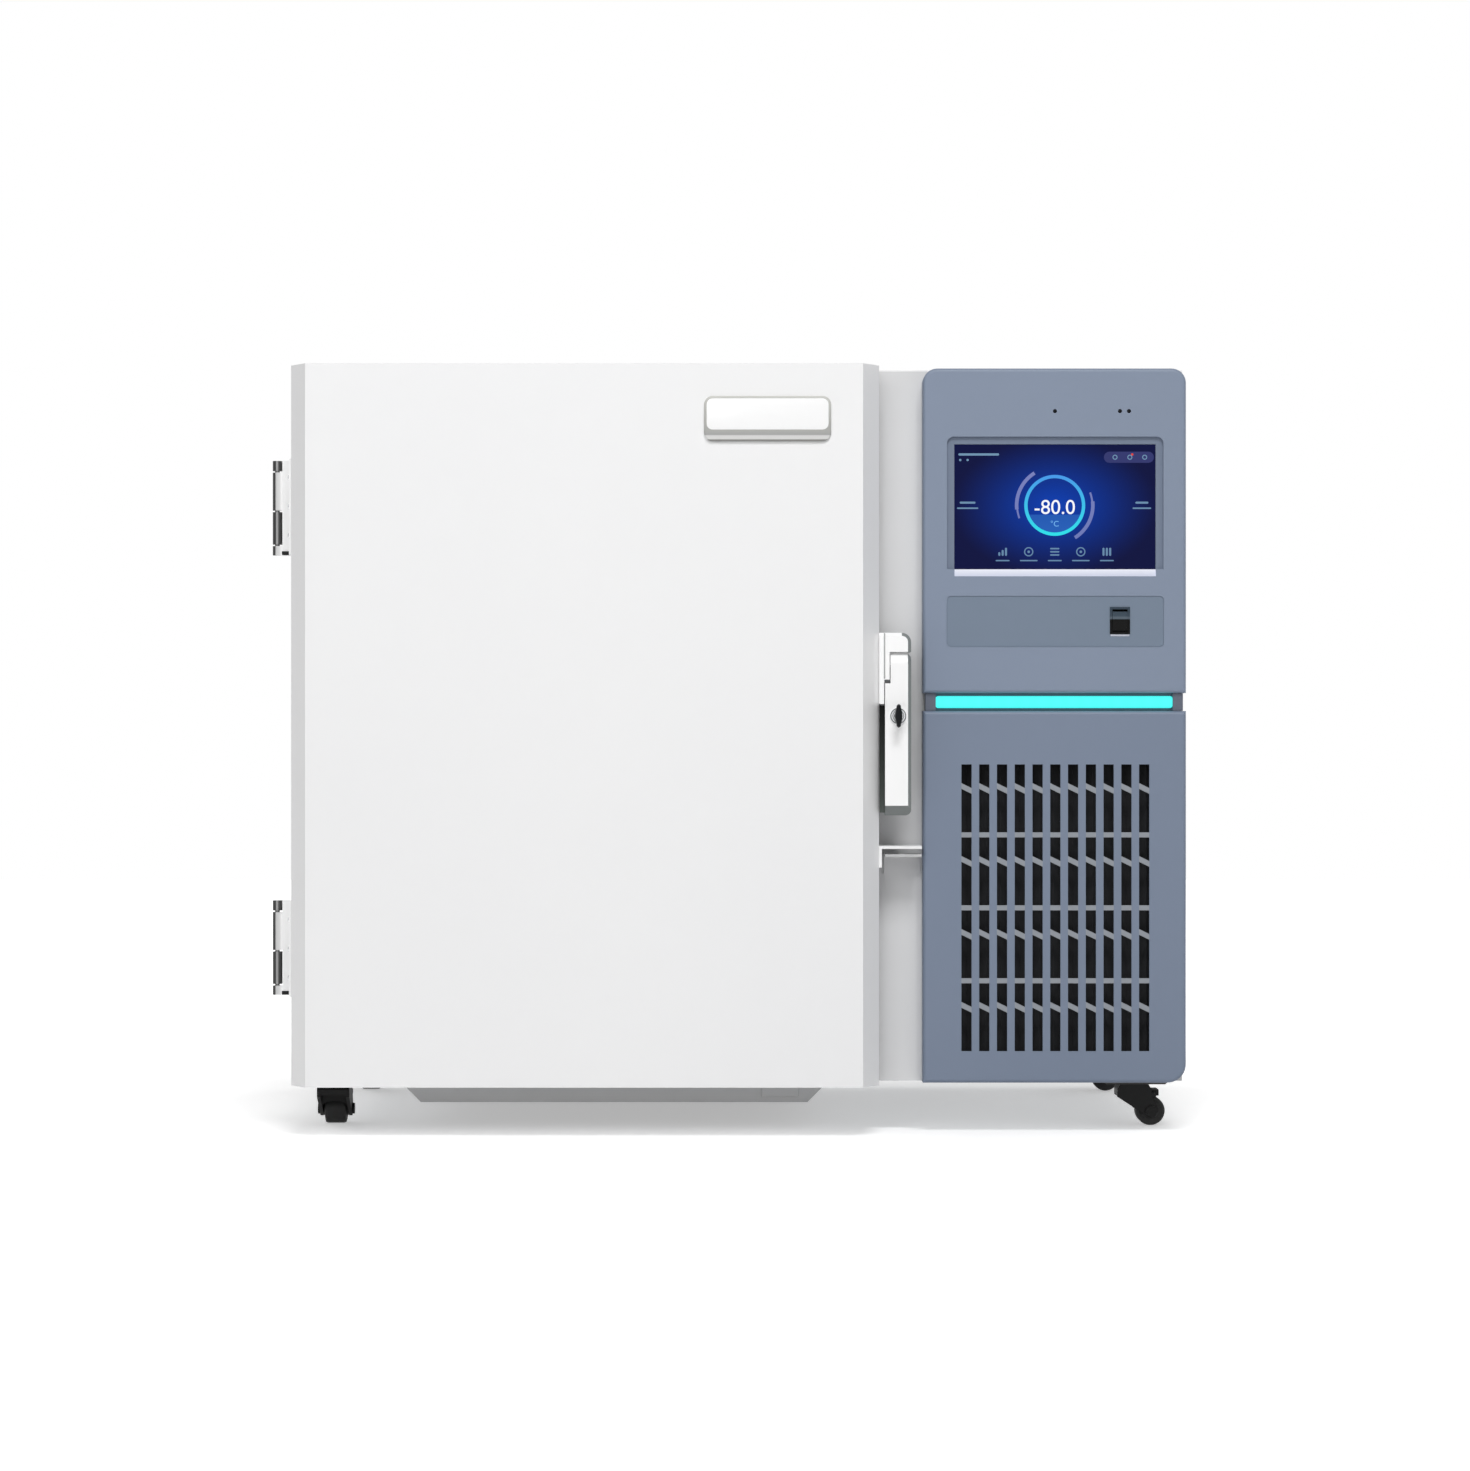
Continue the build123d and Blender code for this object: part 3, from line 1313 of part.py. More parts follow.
# Fan blade: a hub and pitched blades that widen outwards, on the motor's shaft
blade_y = hub_back - fan_hub_length / 2
blade_reach = (fan_hub_radius - fan_blade_sheet, fan_radius - fan_tip_gap)
with BuildPart() as fan_blade:
    with BuildSketch(front_plane(hub_back)):
        circle_at((fan_x, fan_z), fan_hub_radius)
    extrude(amount=fan_hub_length)
    for blade in range(fan_blade_count):
        radial = Vector(0, 0, 1).rotate(Axis.Y, 360 / fan_blade_count * blade)
        facing = Vector(0, 1, 0).rotate(Axis((0, 0, 0), radial), fan_blade_pitch)
        with BuildSketch(Plane(origin=(fan_x, blade_y, fan_z), x_dir=radial, z_dir=facing)):
            Polygon(
                (blade_reach[0], -fan_blade_chord[0] / 2),
                (blade_reach[1], -fan_blade_chord[1] / 2),
                (blade_reach[1], fan_blade_chord[1] / 2),
                (blade_reach[0], fan_blade_chord[0] / 2),
                align=None,
            )
        extrude(amount=fan_blade_sheet / 2, both=True)
    with BuildSketch(front_plane(hub_back)):
        circle_at((fan_x, fan_z), fan_shaft_radius + fan_fit)
    extrude(amount=fan_hub_length - fan_ring_wall, mode=Mode.SUBTRACT)
fan_blade.part.label = "fan_blade"
export_step(fan_blade.part, "parts/fan_blade.step")

# Compressors of the two stages: a welded can on a foot plate with four grommets
compressor_base = tray_top + compressor_grommet[1] + compressor_foot[2]
compressor_top = compressor_base + compressor_height
can_shoulder = compressor_radius / 4
can_profile = (
    (0, 0),
    (compressor_radius, 0),
    (compressor_radius, compressor_height - can_shoulder),
    (compressor_radius - can_shoulder, compressor_height),
    (0, compressor_height),
)
compressor_axes = (
    (partition_right + compressor_across[0], cabinet_front + compressor_along[0]),
    (partition_right + compressor_across[1], inner_back - compressor_along[1]),
)
for stage, (can_x, can_y) in zip(("low", "high"), compressor_axes):
    with BuildPart() as compressor:
        with BuildSketch(Plane(origin=(can_x, can_y, compressor_base), x_dir=(1, 0, 0), z_dir=(0, -1, 0))):
            with BuildLine():
                Polyline(*can_profile, close=True)
            make_face()
        revolve(axis=Axis((can_x, can_y, 0), (0, 0, 1)))
        with BuildSketch(level_plane(compressor_base - compressor_foot[2])):
            with Locations((can_x, can_y)):
                RectangleRounded(compressor_foot[1], compressor_foot[0], compressor_grommet[0])
        extrude(amount=compressor_foot[2])
        with BuildSketch(level_plane(tray_top)):
            with Locations((can_x, can_y)):
                with GridLocations(
                    compressor_foot[1] - 2 * compressor_grommet[0],
                    compressor_foot[0] - 2 * compressor_grommet[0],
                    2,
                    2,
                ):
                    RegularPolygon(compressor_grommet[0], 8)
        extrude(amount=compressor_grommet[1])
    compressor.part.label = f"compressor_{stage}_stage"
    export_step(compressor.part, f"parts/compressor_{stage}_stage.step")

# Cascade exchanger: an insulated plate exchanger on the partition
exchanger_y = inner_back - exchanger_place[0] - exchanger_size[1]
exchanger_z = cabinet_base + exchanger_place[1]
exchanger_right = partition_right + exchanger_size[0]
with BuildPart() as cascade_exchanger:
    with BuildSketch(level_plane(exchanger_z)):
        rectangle_between(partition_right, exchanger_right, exchanger_y, exchanger_y + exchanger_size[1])
    extrude(amount=exchanger_size[2])
    chamfer(cascade_exchanger.edges().filter_by(Axis.Z).group_by(Axis.X)[-1], exchanger_size[0] / 8)
cascade_exchanger.part.label = "cascade_exchanger"
export_step(cascade_exchanger.part, "parts/cascade_exchanger.step")

# Refrigerant lines: bent tubes between compressors, condenser and exchanger
low_axis, high_axis = compressor_axes
upper_run = condenser_top + 3 * line_bend
middle_run = exchanger_z + exchanger_size[2] / 2
lower_run = exchanger_z + exchanger_size[2] / 6
line_offset = compressor_radius / 3
exchanger_middle = exchanger_y + exchanger_size[1] / 2
line_routes = (
    (
        (high_axis[0], high_axis[1], compressor_top),
        (high_axis[0], high_axis[1], upper_run),
        (high_axis[0], condenser_y, upper_run),
        (high_axis[0], condenser_y, condenser_top),
    ),
    (
        (partition_right + exchanger_size[0] / 2, condenser_y, condenser_top),
        (partition_right + exchanger_size[0] / 2, condenser_y, upper_run + line_bend),
        (partition_right + exchanger_size[0] / 2, exchanger_y, upper_run + line_bend),
    ),
    (
        (low_axis[0] - line_offset, exchanger_y, lower_run),
        (low_axis[0] - line_offset, low_axis[1], lower_run),
        (low_axis[0] - line_offset, low_axis[1], compressor_top),
    ),
    (
        (low_axis[0] + line_offset, low_axis[1], compressor_top),
        (low_axis[0] + line_offset, low_axis[1], middle_run),
        (low_axis[0] + line_offset, exchanger_middle, middle_run),
        (exchanger_right, exchanger_middle, middle_run),
    ),
)
with BuildPart() as refrigerant_lines:
    for route in line_routes:
        runs = [math.dist(start, end) for start, end in zip(route, route[1:])]
        bends = [min(line_bend, 0.8 * min(pair)) for pair in zip(runs, runs[1:])]
        with BuildLine() as tube_line:
            FilletPolyline(*route, radius=bends)
        with BuildSketch(Plane(origin=tube_line.line @ 0, z_dir=tube_line.line % 0)):
            RegularPolygon(line_radius, line_sides)
        sweep(path=tube_line.line)
refrigerant_lines.part.label = "refrigerant_lines"
export_step(refrigerant_lines.part, "parts/refrigerant_lines.step")

# Control box: a folded box behind the screen, open towards the bezel
box_low = box_center[1] - box_height / 2
with BuildPart() as control_box:
    with BuildSketch(front_plane(frame_back + box_depth)):
        rectangle_between(service_left, service_right, box_low, box_low + box_height)
    extrude(amount=box_depth)
    offset(amount=-box_wall, openings=control_box.faces().sort_by(Axis.Y)[0])
control_box.part.label = "control_box"
export_step(control_box.part, "parts/control_box.step")

# Mains inlet on the rear panel: flange, body and three blades in the recess
with BuildPart() as mains_inlet:
    with BuildSketch(front_plane(cabinet_back + inlet_flange[2])):
        rectangle_at((inlet_x, inlet_z), inlet_flange[:2])
    extrude(amount=inlet_flange[2])
    with BuildSketch(front_plane(cabinet_back)):
        rectangle_at(
            (inlet_x, inlet_z), (inlet_body[0] - 2 * trim_gap, inlet_body[1] - 2 * trim_gap)
        )
    extrude(amount=inlet_body[2])
    with BuildSketch(front_plane(cabinet_back + inlet_flange[2])):
        rectangle_at((inlet_x, inlet_z), inlet_recess[:2])
    extrude(amount=inlet_recess[2], mode=Mode.SUBTRACT)
    with BuildSketch(front_plane(cabinet_back + inlet_flange[2] - inlet_recess[2] + inlet_pin[2])):
        with Locations((inlet_x, inlet_z)):
            with GridLocations(inlet_pin_pitch, 0, 3, 1):
                Rectangle(*inlet_pin[:2])
    extrude(amount=inlet_pin[2])
mains_inlet.part.label = "mains_inlet"
export_step(mains_inlet.part, "parts/mains_inlet.step")

# Rear bumpers
with BuildPart() as rear_bumpers:
    with BuildSketch(front_plane(overall_depth / 2)):
        with Locations(((cabinet_left + cabinet_right) / 2, (cabinet_base + cabinet_top) / 2)):
            with GridLocations(
                cabinet_right - cabinet_left - 2 * bumper_inset,
                cabinet_top - cabinet_base - 2 * bumper_inset,
                2,
                2,
            ):
                Circle(bumper_radius)
    extrude(amount=bumper_depth)
    chamfer(rear_bumpers.faces().group_by(Axis.Y)[-1].edges(), bumper_depth / 4)
rear_bumpers.part.label = "rear_bumpers"
export_step(rear_bumpers.part, "parts/rear_bumpers.step")

# Casters: name, pivot and the direction in which the wheel trails
left_pivot = cabinet_left + caster_inset_x[0]
right_pivot = cabinet_right - caster_inset_x[1]
front_pivot = cabinet_front + caster_inset_y[0]
rear_pivot = cabinet_back - caster_inset_y[1]
casters = {
    "front_left": ((left_pivot, front_pivot), 90),
    "front_right": ((right_pivot, front_pivot), 0),
    "rear_left": ((left_pivot, rear_pivot), 90),
    "rear_right": ((right_pivot - caster_rear_shift, rear_pivot), 0),
}
plate_low = cabinet_base - caster_plate_thick
fork_top = plate_low - caster_head_gap

with BuildPart() as caster_plates:
    with BuildSketch(level_plane(plate_low)):
        for pivot, heading in casters.values():
            rectangle_at(pivot, (caster_plate, caster_plate))
            circle_at(pivot, caster_stem_radius + caster_fit, Mode.SUBTRACT)
    extrude(amount=caster_plate_thick)
    plate_edges = caster_plates.faces().group_by(Axis.Z)[0].edges().filter_by(GeomType.LINE)
    chamfer(plate_edges, caster_plate_thick / 3)
caster_plates.part.label = "caster_plates"
export_step(caster_plates.part, "parts/caster_plates.step")


def caster_plane(pivot, heading, axle_shift=0):
    """Side plane of a caster: sketch x runs along the trail, sketch y is up, extrusion goes across."""
    trail = Vector(1, 0, 0).rotate(Axis.Z, heading)
    across = trail.cross(Vector(0, 0, 1))
    return Plane(origin=Vector(*pivot, 0) + across * axle_shift, x_dir=trail, z_dir=across)


axle = (caster_trail, wheel_radius)
well_half = wheel_hub / 2 + fork_cheek_gap
fork_half = fork_width / 2
head_half = fork_head / 2
for corner, (pivot, heading) in casters.items():
    has_brake = corner.startswith("front")
    side = caster_plane(pivot, heading)

    # Fork: nosed housing with a wheel well, a swivel stem and the axle with its caps
    with BuildPart() as fork:
        with BuildSketch(side):
            with BuildLine():
                Polyline(
                    (-head_half, fork_top),
                    (head_half, fork_top),
                    (caster_trail + axle_radius / 4, fork_top - pedal_size[1]),
                    (caster_trail + axle_radius / 4, pedal_pivot[1]),
                    (caster_trail + wheel_hub_radius, wheel_radius + axle_radius),
                    (caster_trail + wheel_hub_radius, wheel_radius),
                    (caster_trail, wheel_radius - wheel_hub_radius),
                    (caster_trail - wheel_hub_radius, wheel_radius - axle_radius),
                    (-fork_nose, fork_nose_rise),
                    (-fork_nose, fork_top - pedal_size[1]),
                    close=True,
                )
            make_face()
            if has_brake:
                circle_at(pedal_pivot, pedal_ear)
        extrude(amount=fork_half, both=True)
        with BuildSketch(side):
            rectangle_between(
                -fork_nose,
                caster_trail + wheel_radius + wheel_gap,
                0,
                2 * wheel_radius + wheel_gap,
            )
        extrude(amount=well_half, both=True, mode=Mode.SUBTRACT)
        if has_brake:
            with BuildSketch(side):
                rectangle_between(
                    caster_trail + axle_radius / 4,
                    caster_trail + wheel_radius,
                    pedal_pivot[1] - pedal_ear,
                    fork_top,
                )
            extrude(amount=well_half, both=True, mode=Mode.SUBTRACT)
            with BuildSketch(side):
                circle_at(pedal_pivot, pedal_pin_radius + axle_fit)
            extrude(amount=fork_half, both=True, mode=Mode.SUBTRACT)
        with BuildSketch(side):
            circle_at(axle, axle_radius)
        extrude(amount=fork_half, both=True)
        for turn in (-1, 1):
            with BuildSketch(caster_plane(pivot, heading, turn * fork_half)):
                circle_at(axle, axle_cap_radius)
            extrude(amount=turn * axle_cap)
        with BuildSketch(level_plane(fork_top)):
            circle_at(pivot, caster_stem_radius)
        extrude(amount=cabinet_base - fork_top - caster_head_gap)
    fork.part.label = f"caster_fork_{corner}"
    export_step(fork.part, f"parts/caster_fork_{corner}.step")

    # Wheel: tread and a wider hub, bored for the axle
    wheel_axis = Axis((side.origin + side.x_dir * caster_trail + Vector(0, 0, wheel_radius)), side.z_dir)
    wheel_plane = Plane(origin=wheel_axis.position, x_dir=side.z_dir, z_dir=side.x_dir)
    with BuildPart() as wheel:
        with BuildSketch(wheel_plane):
            with BuildLine():
                Polyline(
                    (-wheel_hub / 2, axle_radius + axle_fit),
                    (-wheel_hub / 2, wheel_hub_radius),
                    (-wheel_tread / 2, wheel_hub_radius),
                    (-wheel_tread / 2, wheel_radius),
                    (wheel_tread / 2, wheel_radius),
                    (wheel_tread / 2, wheel_hub_radius),
                    (wheel_hub / 2, wheel_hub_radius),
                    (wheel_hub / 2, axle_radius + axle_fit),
                    close=True,
                )
            make_face()
        revolve(axis=wheel_axis)
    wheel.part.label = f"caster_wheel_{corner}"
    export_step(wheel.part, f"parts/caster_wheel_{corner}.step")

    # Brake pedal: a tab over the wheel on its own pin
    if has_brake:
        pedal_half = well_half - pedal_gap
        with BuildPart() as pedal:
            with BuildSketch(side):
                rectangle_between(
                    pedal_pivot[0] - pedal_ear + pedal_gap,
                    pedal_pivot[0] - pedal_ear + pedal_gap + pedal_size[0],
                    pedal_pivot[1] - pedal_pin_radius,
                    pedal_pivot[1] - pedal_pin_radius + pedal_size[1],
                )
            extrude(amount=pedal_half, both=True)
            with BuildSketch(side):
                circle_at(pedal_pivot, pedal_pin_radius)
            extrude(amount=fork_half, both=True)
        pedal.part.label = f"brake_pedal_{corner}"
        export_step(pedal.part, f"parts/brake_pedal_{corner}.step")
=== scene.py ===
import json
import math

import bmesh
import bpy
import numpy as np
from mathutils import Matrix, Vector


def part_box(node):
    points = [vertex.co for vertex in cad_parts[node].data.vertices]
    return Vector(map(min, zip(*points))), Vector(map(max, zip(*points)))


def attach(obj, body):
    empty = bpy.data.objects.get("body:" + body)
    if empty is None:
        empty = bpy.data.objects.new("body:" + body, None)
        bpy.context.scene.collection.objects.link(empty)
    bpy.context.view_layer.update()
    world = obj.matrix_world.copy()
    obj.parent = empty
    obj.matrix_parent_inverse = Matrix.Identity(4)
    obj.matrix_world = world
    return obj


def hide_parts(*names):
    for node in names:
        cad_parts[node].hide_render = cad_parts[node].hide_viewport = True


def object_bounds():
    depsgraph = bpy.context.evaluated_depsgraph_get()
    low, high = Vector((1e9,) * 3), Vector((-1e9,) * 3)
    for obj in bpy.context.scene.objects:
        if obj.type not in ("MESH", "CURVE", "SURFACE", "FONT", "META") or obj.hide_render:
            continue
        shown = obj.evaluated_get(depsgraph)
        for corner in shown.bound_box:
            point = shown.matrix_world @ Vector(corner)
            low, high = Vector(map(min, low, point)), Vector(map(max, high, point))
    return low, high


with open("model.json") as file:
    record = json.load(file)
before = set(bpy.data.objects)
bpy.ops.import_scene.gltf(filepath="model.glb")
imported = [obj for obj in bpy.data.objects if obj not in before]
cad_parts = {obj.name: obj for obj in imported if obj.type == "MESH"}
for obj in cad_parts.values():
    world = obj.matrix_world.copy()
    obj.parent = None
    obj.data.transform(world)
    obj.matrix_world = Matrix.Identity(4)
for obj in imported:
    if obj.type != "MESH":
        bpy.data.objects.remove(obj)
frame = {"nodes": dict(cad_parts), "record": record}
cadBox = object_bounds()
nodes = frame["nodes"]
slotOf = {part["node"]: part["material_slot"] for part in frame["record"]["subparts"]}
bodyOf = {node: body for body, group in frame["record"]["behaviour"]["bodies"].items() for node in group}
mm = 0.001


# shader maths: a socket that takes part in plain Python expressions
class Sock:
    def __init__(self, finish, socket):
        self.finish = finish
        self.socket = socket

    def calc(self, operation, *others):
        return self.finish.calc(operation, self, *others)

    def __add__(self, other):
        return self.calc("ADD", other)

    def __sub__(self, other):
        return self.calc("SUBTRACT", other)

    def __rsub__(self, other):
        return self.finish.calc("SUBTRACT", other, self)

    def __mul__(self, other):
        return self.calc("MULTIPLY", other)

    def __truediv__(self, other):
        return self.calc("DIVIDE", other)

    def __pow__(self, other):
        return self.calc("POWER", other)

    def __mod__(self, other):
        return self.calc("FLOORED_MODULO", other)

    def __lt__(self, other):
        return self.calc("LESS_THAN", other)

    def __gt__(self, other):
        return self.calc("GREATER_THAN", other)

    def __abs__(self):
        return self.calc("ABSOLUTE")

    __radd__ = __add__
    __rmul__ = __mul__


# the nodes of a material, or of another holder such as the world
class Finish:
    def __init__(self, name, holder=None, shader="Principled BSDF"):
        self.material = holder or bpy.data.materials.new(name)
        self.material.use_nodes = True
        self.tree = self.material.node_tree
        self.shader = self.tree.nodes[shader]

    # any node: its type, the settings that are set first, its sockets by name or number
    def node(self, kind, settings=None, sockets=None, output=0):
        made = self.tree.nodes.new("ShaderNode" + kind)
        for key, value in (settings or {}).items():
            if key == "stops":
                elements = made.color_ramp.elements  # a new ramp has two
                for count, (place, color) in enumerate(value):
                    stop = elements[count] if count < 2 else elements.new(place)
                    stop.position, stop.color = place, color
            else:
                setattr(made, key, value)
        for key, value in (sockets or {}).items():
            self.feed(made.inputs[key], value)
        return Sock(self, made.outputs[output])

    def feed(self, target, value):
        if isinstance(value, Sock):
            self.tree.links.new(value.socket, target)
        else:
            target.default_value = value

    def calc(self, operation, *values):
        return self.node("Math", {"operation": operation}, dict(enumerate(values)))

    def blend(self, factor, first, second):
        return self.node("Mix", {"data_type": "RGBA"}, {0: factor, 6: first, 7: second}, 2)

    # 0 at the low end and 1 at the high end, straight between them
    def ramp(self, value, low, high):
        return self.node("MapRange", sockets={0: value, 1: low, 2: high, 3: 0.0, 4: 1.0})

    def tones(self, value, tones):
        stops = [(place, tint(color)) for place, color in tones]
        return self.node("ValToRGB", {"stops": stops}, {0: value})

    def place(self):
        return self.node("TexCoord", output="Object")

    def axes(self):
        split = self.node("SeparateXYZ", sockets={0: self.place()})
        return [Sock(self, output) for output in split.socket.node.outputs]

    def noise(self, scale, detail=2.0, stretch=None):
        vector = self.place()
        if stretch:
            vector = self.node("Mapping", sockets={"Vector": vector, "Scale": stretch})
        return self.node("TexNoise", sockets={"Vector": vector, "Scale": scale, "Detail": detail})

    def bump(self, height, strength, distance):
        sockets = {"Strength": strength, "Distance": distance, "Height": height}
        return self.node("Bump", sockets=sockets)

    def shade(self, **values):
        for key, value in values.items():
            self.feed(self.shader.inputs[key.replace("_", " ")], value)
        return self.material


# hex colour as linear light: each channel c becomes ((c + 0.055) / 1.055) ** 2.4
def tint(code):
    channels = np.array([int(code[i : i + 2], 16) for i in (0, 2, 4)]) / 255
    linear = np.where(channels <= 0.04045, channels / 12.92, ((channels + 0.055) / 1.055) ** 2.4)
    return (*linear.tolist(), 1.0)


# sheet metal with a baked powder coat: orange peel in the bump, faint clouds in colour and gloss
def powderCoat(name, color, shadow, rough=0.4, peel=0.05):
    finish = Finish(name)
    clouds = finish.noise(2.4, 3)
    dimples = finish.noise(620, 1)
    specks = finish.noise(2300, 0)
    return finish.shade(
        Base_Color=finish.blend(clouds * 0.9, tint(color), tint(shadow)),
        Roughness=rough + clouds * 0.06 + specks * 0.05,
        Normal=finish.bump(dimples + specks * 0.3, peel, 0.4 * mm),
        Coat_Weight=0.15,
        Coat_Roughness=0.25,
    )


# injection-moulded plastic: a fine spark-eroded grain, with slow drifts of colour and gloss;
# an accent is a function that gives a mask and the colour inside it
def mouldedPlastic(name, color, drift, rough=0.45, grain=0.12, scale=1500, coat=0.0, shine=0.5, accents=()):
    finish = Finish(name)
    cells = finish.node("TexVoronoi", sockets={"Vector": finish.place(), "Scale": scale})
    pebble = finish.noise(scale * 0.6, 2)
    slow = finish.noise(3.5, 2)
    tone = finish.blend(slow, tint(color), tint(drift))
    for accent in accents:
        mask, inside = accent(finish)
        tone = finish.blend(mask, tone, inside)
    return finish.shade(
        Base_Color=tone,
        Roughness=rough + pebble * 0.08 + slow * 0.04,
        Normal=finish.bump(cells * 0.6 + pebble, grain, 0.15 * mm),
        Specular_IOR_Level=shine,
        Coat_Weight=coat,
        Coat_Roughness=0.12,
    )


# brushed metal: noise stretched along the brushing, in gloss, colour and bump
def brushedMetal(name, color, dark, stretch=(2, 2, 320), rough=0.3, depth=0.08):
    finish = Finish(name)
    lines = finish.noise(9, 3, stretch)
    smudge = finish.noise(7, 3)
    return finish.shade(
        Base_Color=finish.blend(lines * 0.7 + smudge * 0.25, tint(color), tint(dark)),
        Metallic=1.0,
        Roughness=rough + lines * 0.14 + smudge * 0.1,
        Normal=finish.bump(lines, depth, 0.1 * mm),
    )


# hot-dip zinc: crystals as cells, each with its own grey
def zincCoat(name, color, dark):
    finish = Finish(name)
    sockets = {"Vector": finish.place(), "Scale": 70}
    crystal = finish.node("TexVoronoi", sockets=sockets, output="Color")
    grey = finish.node("RGBToBW", sockets={0: crystal})
    fine = finish.noise(400, 2)
    return finish.shade(
        Base_Color=finish.blend(grey, tint(color), tint(dark)),
        Metallic=1.0,
        Roughness=0.32 + grey * 0.22,
        Normal=finish.bump(fine, 0.04, 0.1 * mm),
    )


# soft rubber: dull, with a fine skin and a little chalky bloom
def softRubber(name, color, bloom, rough=0.7):
    finish = Finish(name)
    skin = finish.noise(900, 3)
    chalk = finish.noise(26, 4)
    return finish.shade(
        Base_Color=finish.blend(chalk ** 2, tint(color), tint(bloom)),
        Roughness=rough + skin * 0.15,
        Normal=finish.bump(skin, 0.15, 0.2 * mm),
    )


# rigid foam: closed cells of about a millimetre, in the bump and the colour
def cellFoam(name, color, dark):
    finish = Finish(name)
    cells = finish.node("TexVoronoi", sockets={"Vector": finish.place(), "Scale": 700})
    lumps = finish.noise(30, 3)
    return finish.shade(
        Base_Color=finish.blend(cells * 0.6 + lumps * 0.5, tint(color), tint(dark)),
        Roughness=0.85 + cells * 0.1,
        Normal=finish.bump(cells, 0.4, 0.5 * mm),
    )


# filter fleece: crossed threads as two waves, over cloudy fibre
def filterFleece(name, color, pale):
    finish = Finish(name)
    across, _, up = finish.axes()
    threads = abs((across * 2200).calc("SINE")) * abs((up * 2200).calc("SINE"))
    fibre = finish.noise(300, 4)
    return finish.shade(
        Base_Color=finish.blend(threads * 0.5 + fibre * 0.4, tint(color), tint(pale)),
        Roughness=0.8 + fibre * 0.15,
        Normal=finish.bump(threads + fibre, 0.3, 0.3 * mm),
    )


# display behind glass: a blue glow that falls off as an ellipse, over navy, with a fine pixel grid
def displayGlass(name, look):
    finish = Finish(name)
    x, _, z = finish.axes()
    reach = ((x - look["x"]) / look["glowX"]) ** 2 + ((z - look["z"]) / look["glowZ"]) ** 2
    glow = (1 - reach.calc("SQRT")).calc("MAXIMUM", 0.0) ** 1.3
    grid = (abs((x * 3000).calc("SINE")) + abs((z * 3000).calc("SINE"))) * 0.04
    edge = finish.blend(glow, tint(look["navy"]), tint(look["blue"]))
    return finish.shade(
        Base_Color=finish.blend(glow, tint("03040a"), tint("050817")),
        Roughness=0.12 + grid,
        Specular_IOR_Level=0.03,
        Emission_Color=edge,
        Emission_Strength=1.0,
    )


# printed light on the display: one colour that drifts into a second one up the height span
def screenInk(name, color, second, strength=1.0, span=(590 * mm, 760 * mm)):
    finish = Finish(name)
    _, _, z = finish.axes()
    wave = finish.ramp(z, *span)
    return finish.shade(
        Base_Color=finish.blend(wave, tint("040404"), tint("060606")),
        Roughness=0.4 + wave * 0.05,
        Specular_IOR_Level=0.05,
        Emission_Color=finish.blend(wave, tint(color), tint(second)),
        Emission_Strength=strength,
    )


# lit diffuser: brightest along its middle line, with faint spots where the diodes sit
def litDiffuser(name, look):
    finish = Finish(name)
    x, _, z = finish.axes()
    off = abs(z - look["z"]) / look["half"]
    spots = (x * look["spotsPerMetre"] * 2 * math.pi).calc("SINE") * 0.5 + 0.5
    level = (1 - off ** 2 * 0.35) * (0.93 + spots * 0.07)
    return finish.shade(
        Base_Color=finish.blend(spots, tint("0a2424"), tint("0c2b2b")),
        Roughness=0.35 + spots * 0.05,
        Specular_IOR_Level=0.1,
        Emission_Color=finish.blend(level, tint(look["dim"]), tint(look["lit"])),
        Emission_Strength=1.0,
    )


# hinge leaf in white paint, its barrel in steel with painted reflection and shade across it, dark along its
# left edge
def hingeSteel(name, look):
    finish = Finish(name)
    across, _, _ = finish.axes()
    barrel = finish.ramp(across, look["leaf"], look["barrel"])
    paintedReflection = finish.tones(finish.ramp(across, look["far"], look["near"]), look["tones"])
    lines = finish.noise(9, 3, (2, 2, 300))
    return finish.shade(
        Base_Color=finish.blend(barrel, tint(look["paint"]), paintedReflection),
        Roughness=0.35 + lines * 0.15,
        Metallic=barrel * 0.35,
        Normal=finish.bump(lines, 0.04, 0.1 * mm),
    )


# a box given by its middle, half width, low and high ends and front plane, as a mask
def boxMask(finish, look):
    x, y, z = finish.axes()
    return (abs(x - look["x"]) < look["half"]) * (z > look["low"]) * (z < look["high"]) * (y > look["front"])


# the recess round the glass, painted darker than the bezel as the shade inside the recess
def shadedWell(finish):
    return boxMask(finish, shadedWellLook), tint(shadedWellLook["tone"])


# the sill under the glass, painted pale as a highlight where it faces up into the light, paler towards the
# glass
def litSill(finish):
    _, _, z = finish.axes()
    rise = finish.ramp(z, litSillLook["low"], litSillLook["high"])
    return boxMask(finish, litSillLook), finish.blend(rise, tint(litSillLook["dim"]), tint(litSillLook["pale"]))


# the bars inside the slot columns: distance from the nearest column's middle line, by modulo
def greyBars(finish):
    x, _, z = finish.axes()
    column = ((x - barLook["x"]) / barLook["pitch"] + 0.5) % 1.0
    inColumn = abs(column - 0.5) < barLook["half"] / barLook["pitch"]
    inField = abs(x - barLook["x"]) < barLook["reach"]
    return inColumn * inField * (z > barLook["low"]) * (z < barLook["high"]), tint(barLook["tone"])


# dark slab coloured as painted shade: black at the top, paling downwards
def gapShadePlastic(name, look):
    finish = Finish(name)
    _, _, z = finish.axes()
    rise = finish.ramp(z, look["low"], look["high"])
    grain = finish.noise(1200, 2)
    return finish.shade(
        Base_Color=finish.blend(rise ** 0.6, tint(look["pale"]), tint(look["dark"])),
        Roughness=0.55 + grain * 0.1,
        Specular_IOR_Level=0.08,
        Normal=finish.bump(grain, 0.08, 0.1 * mm),
    )
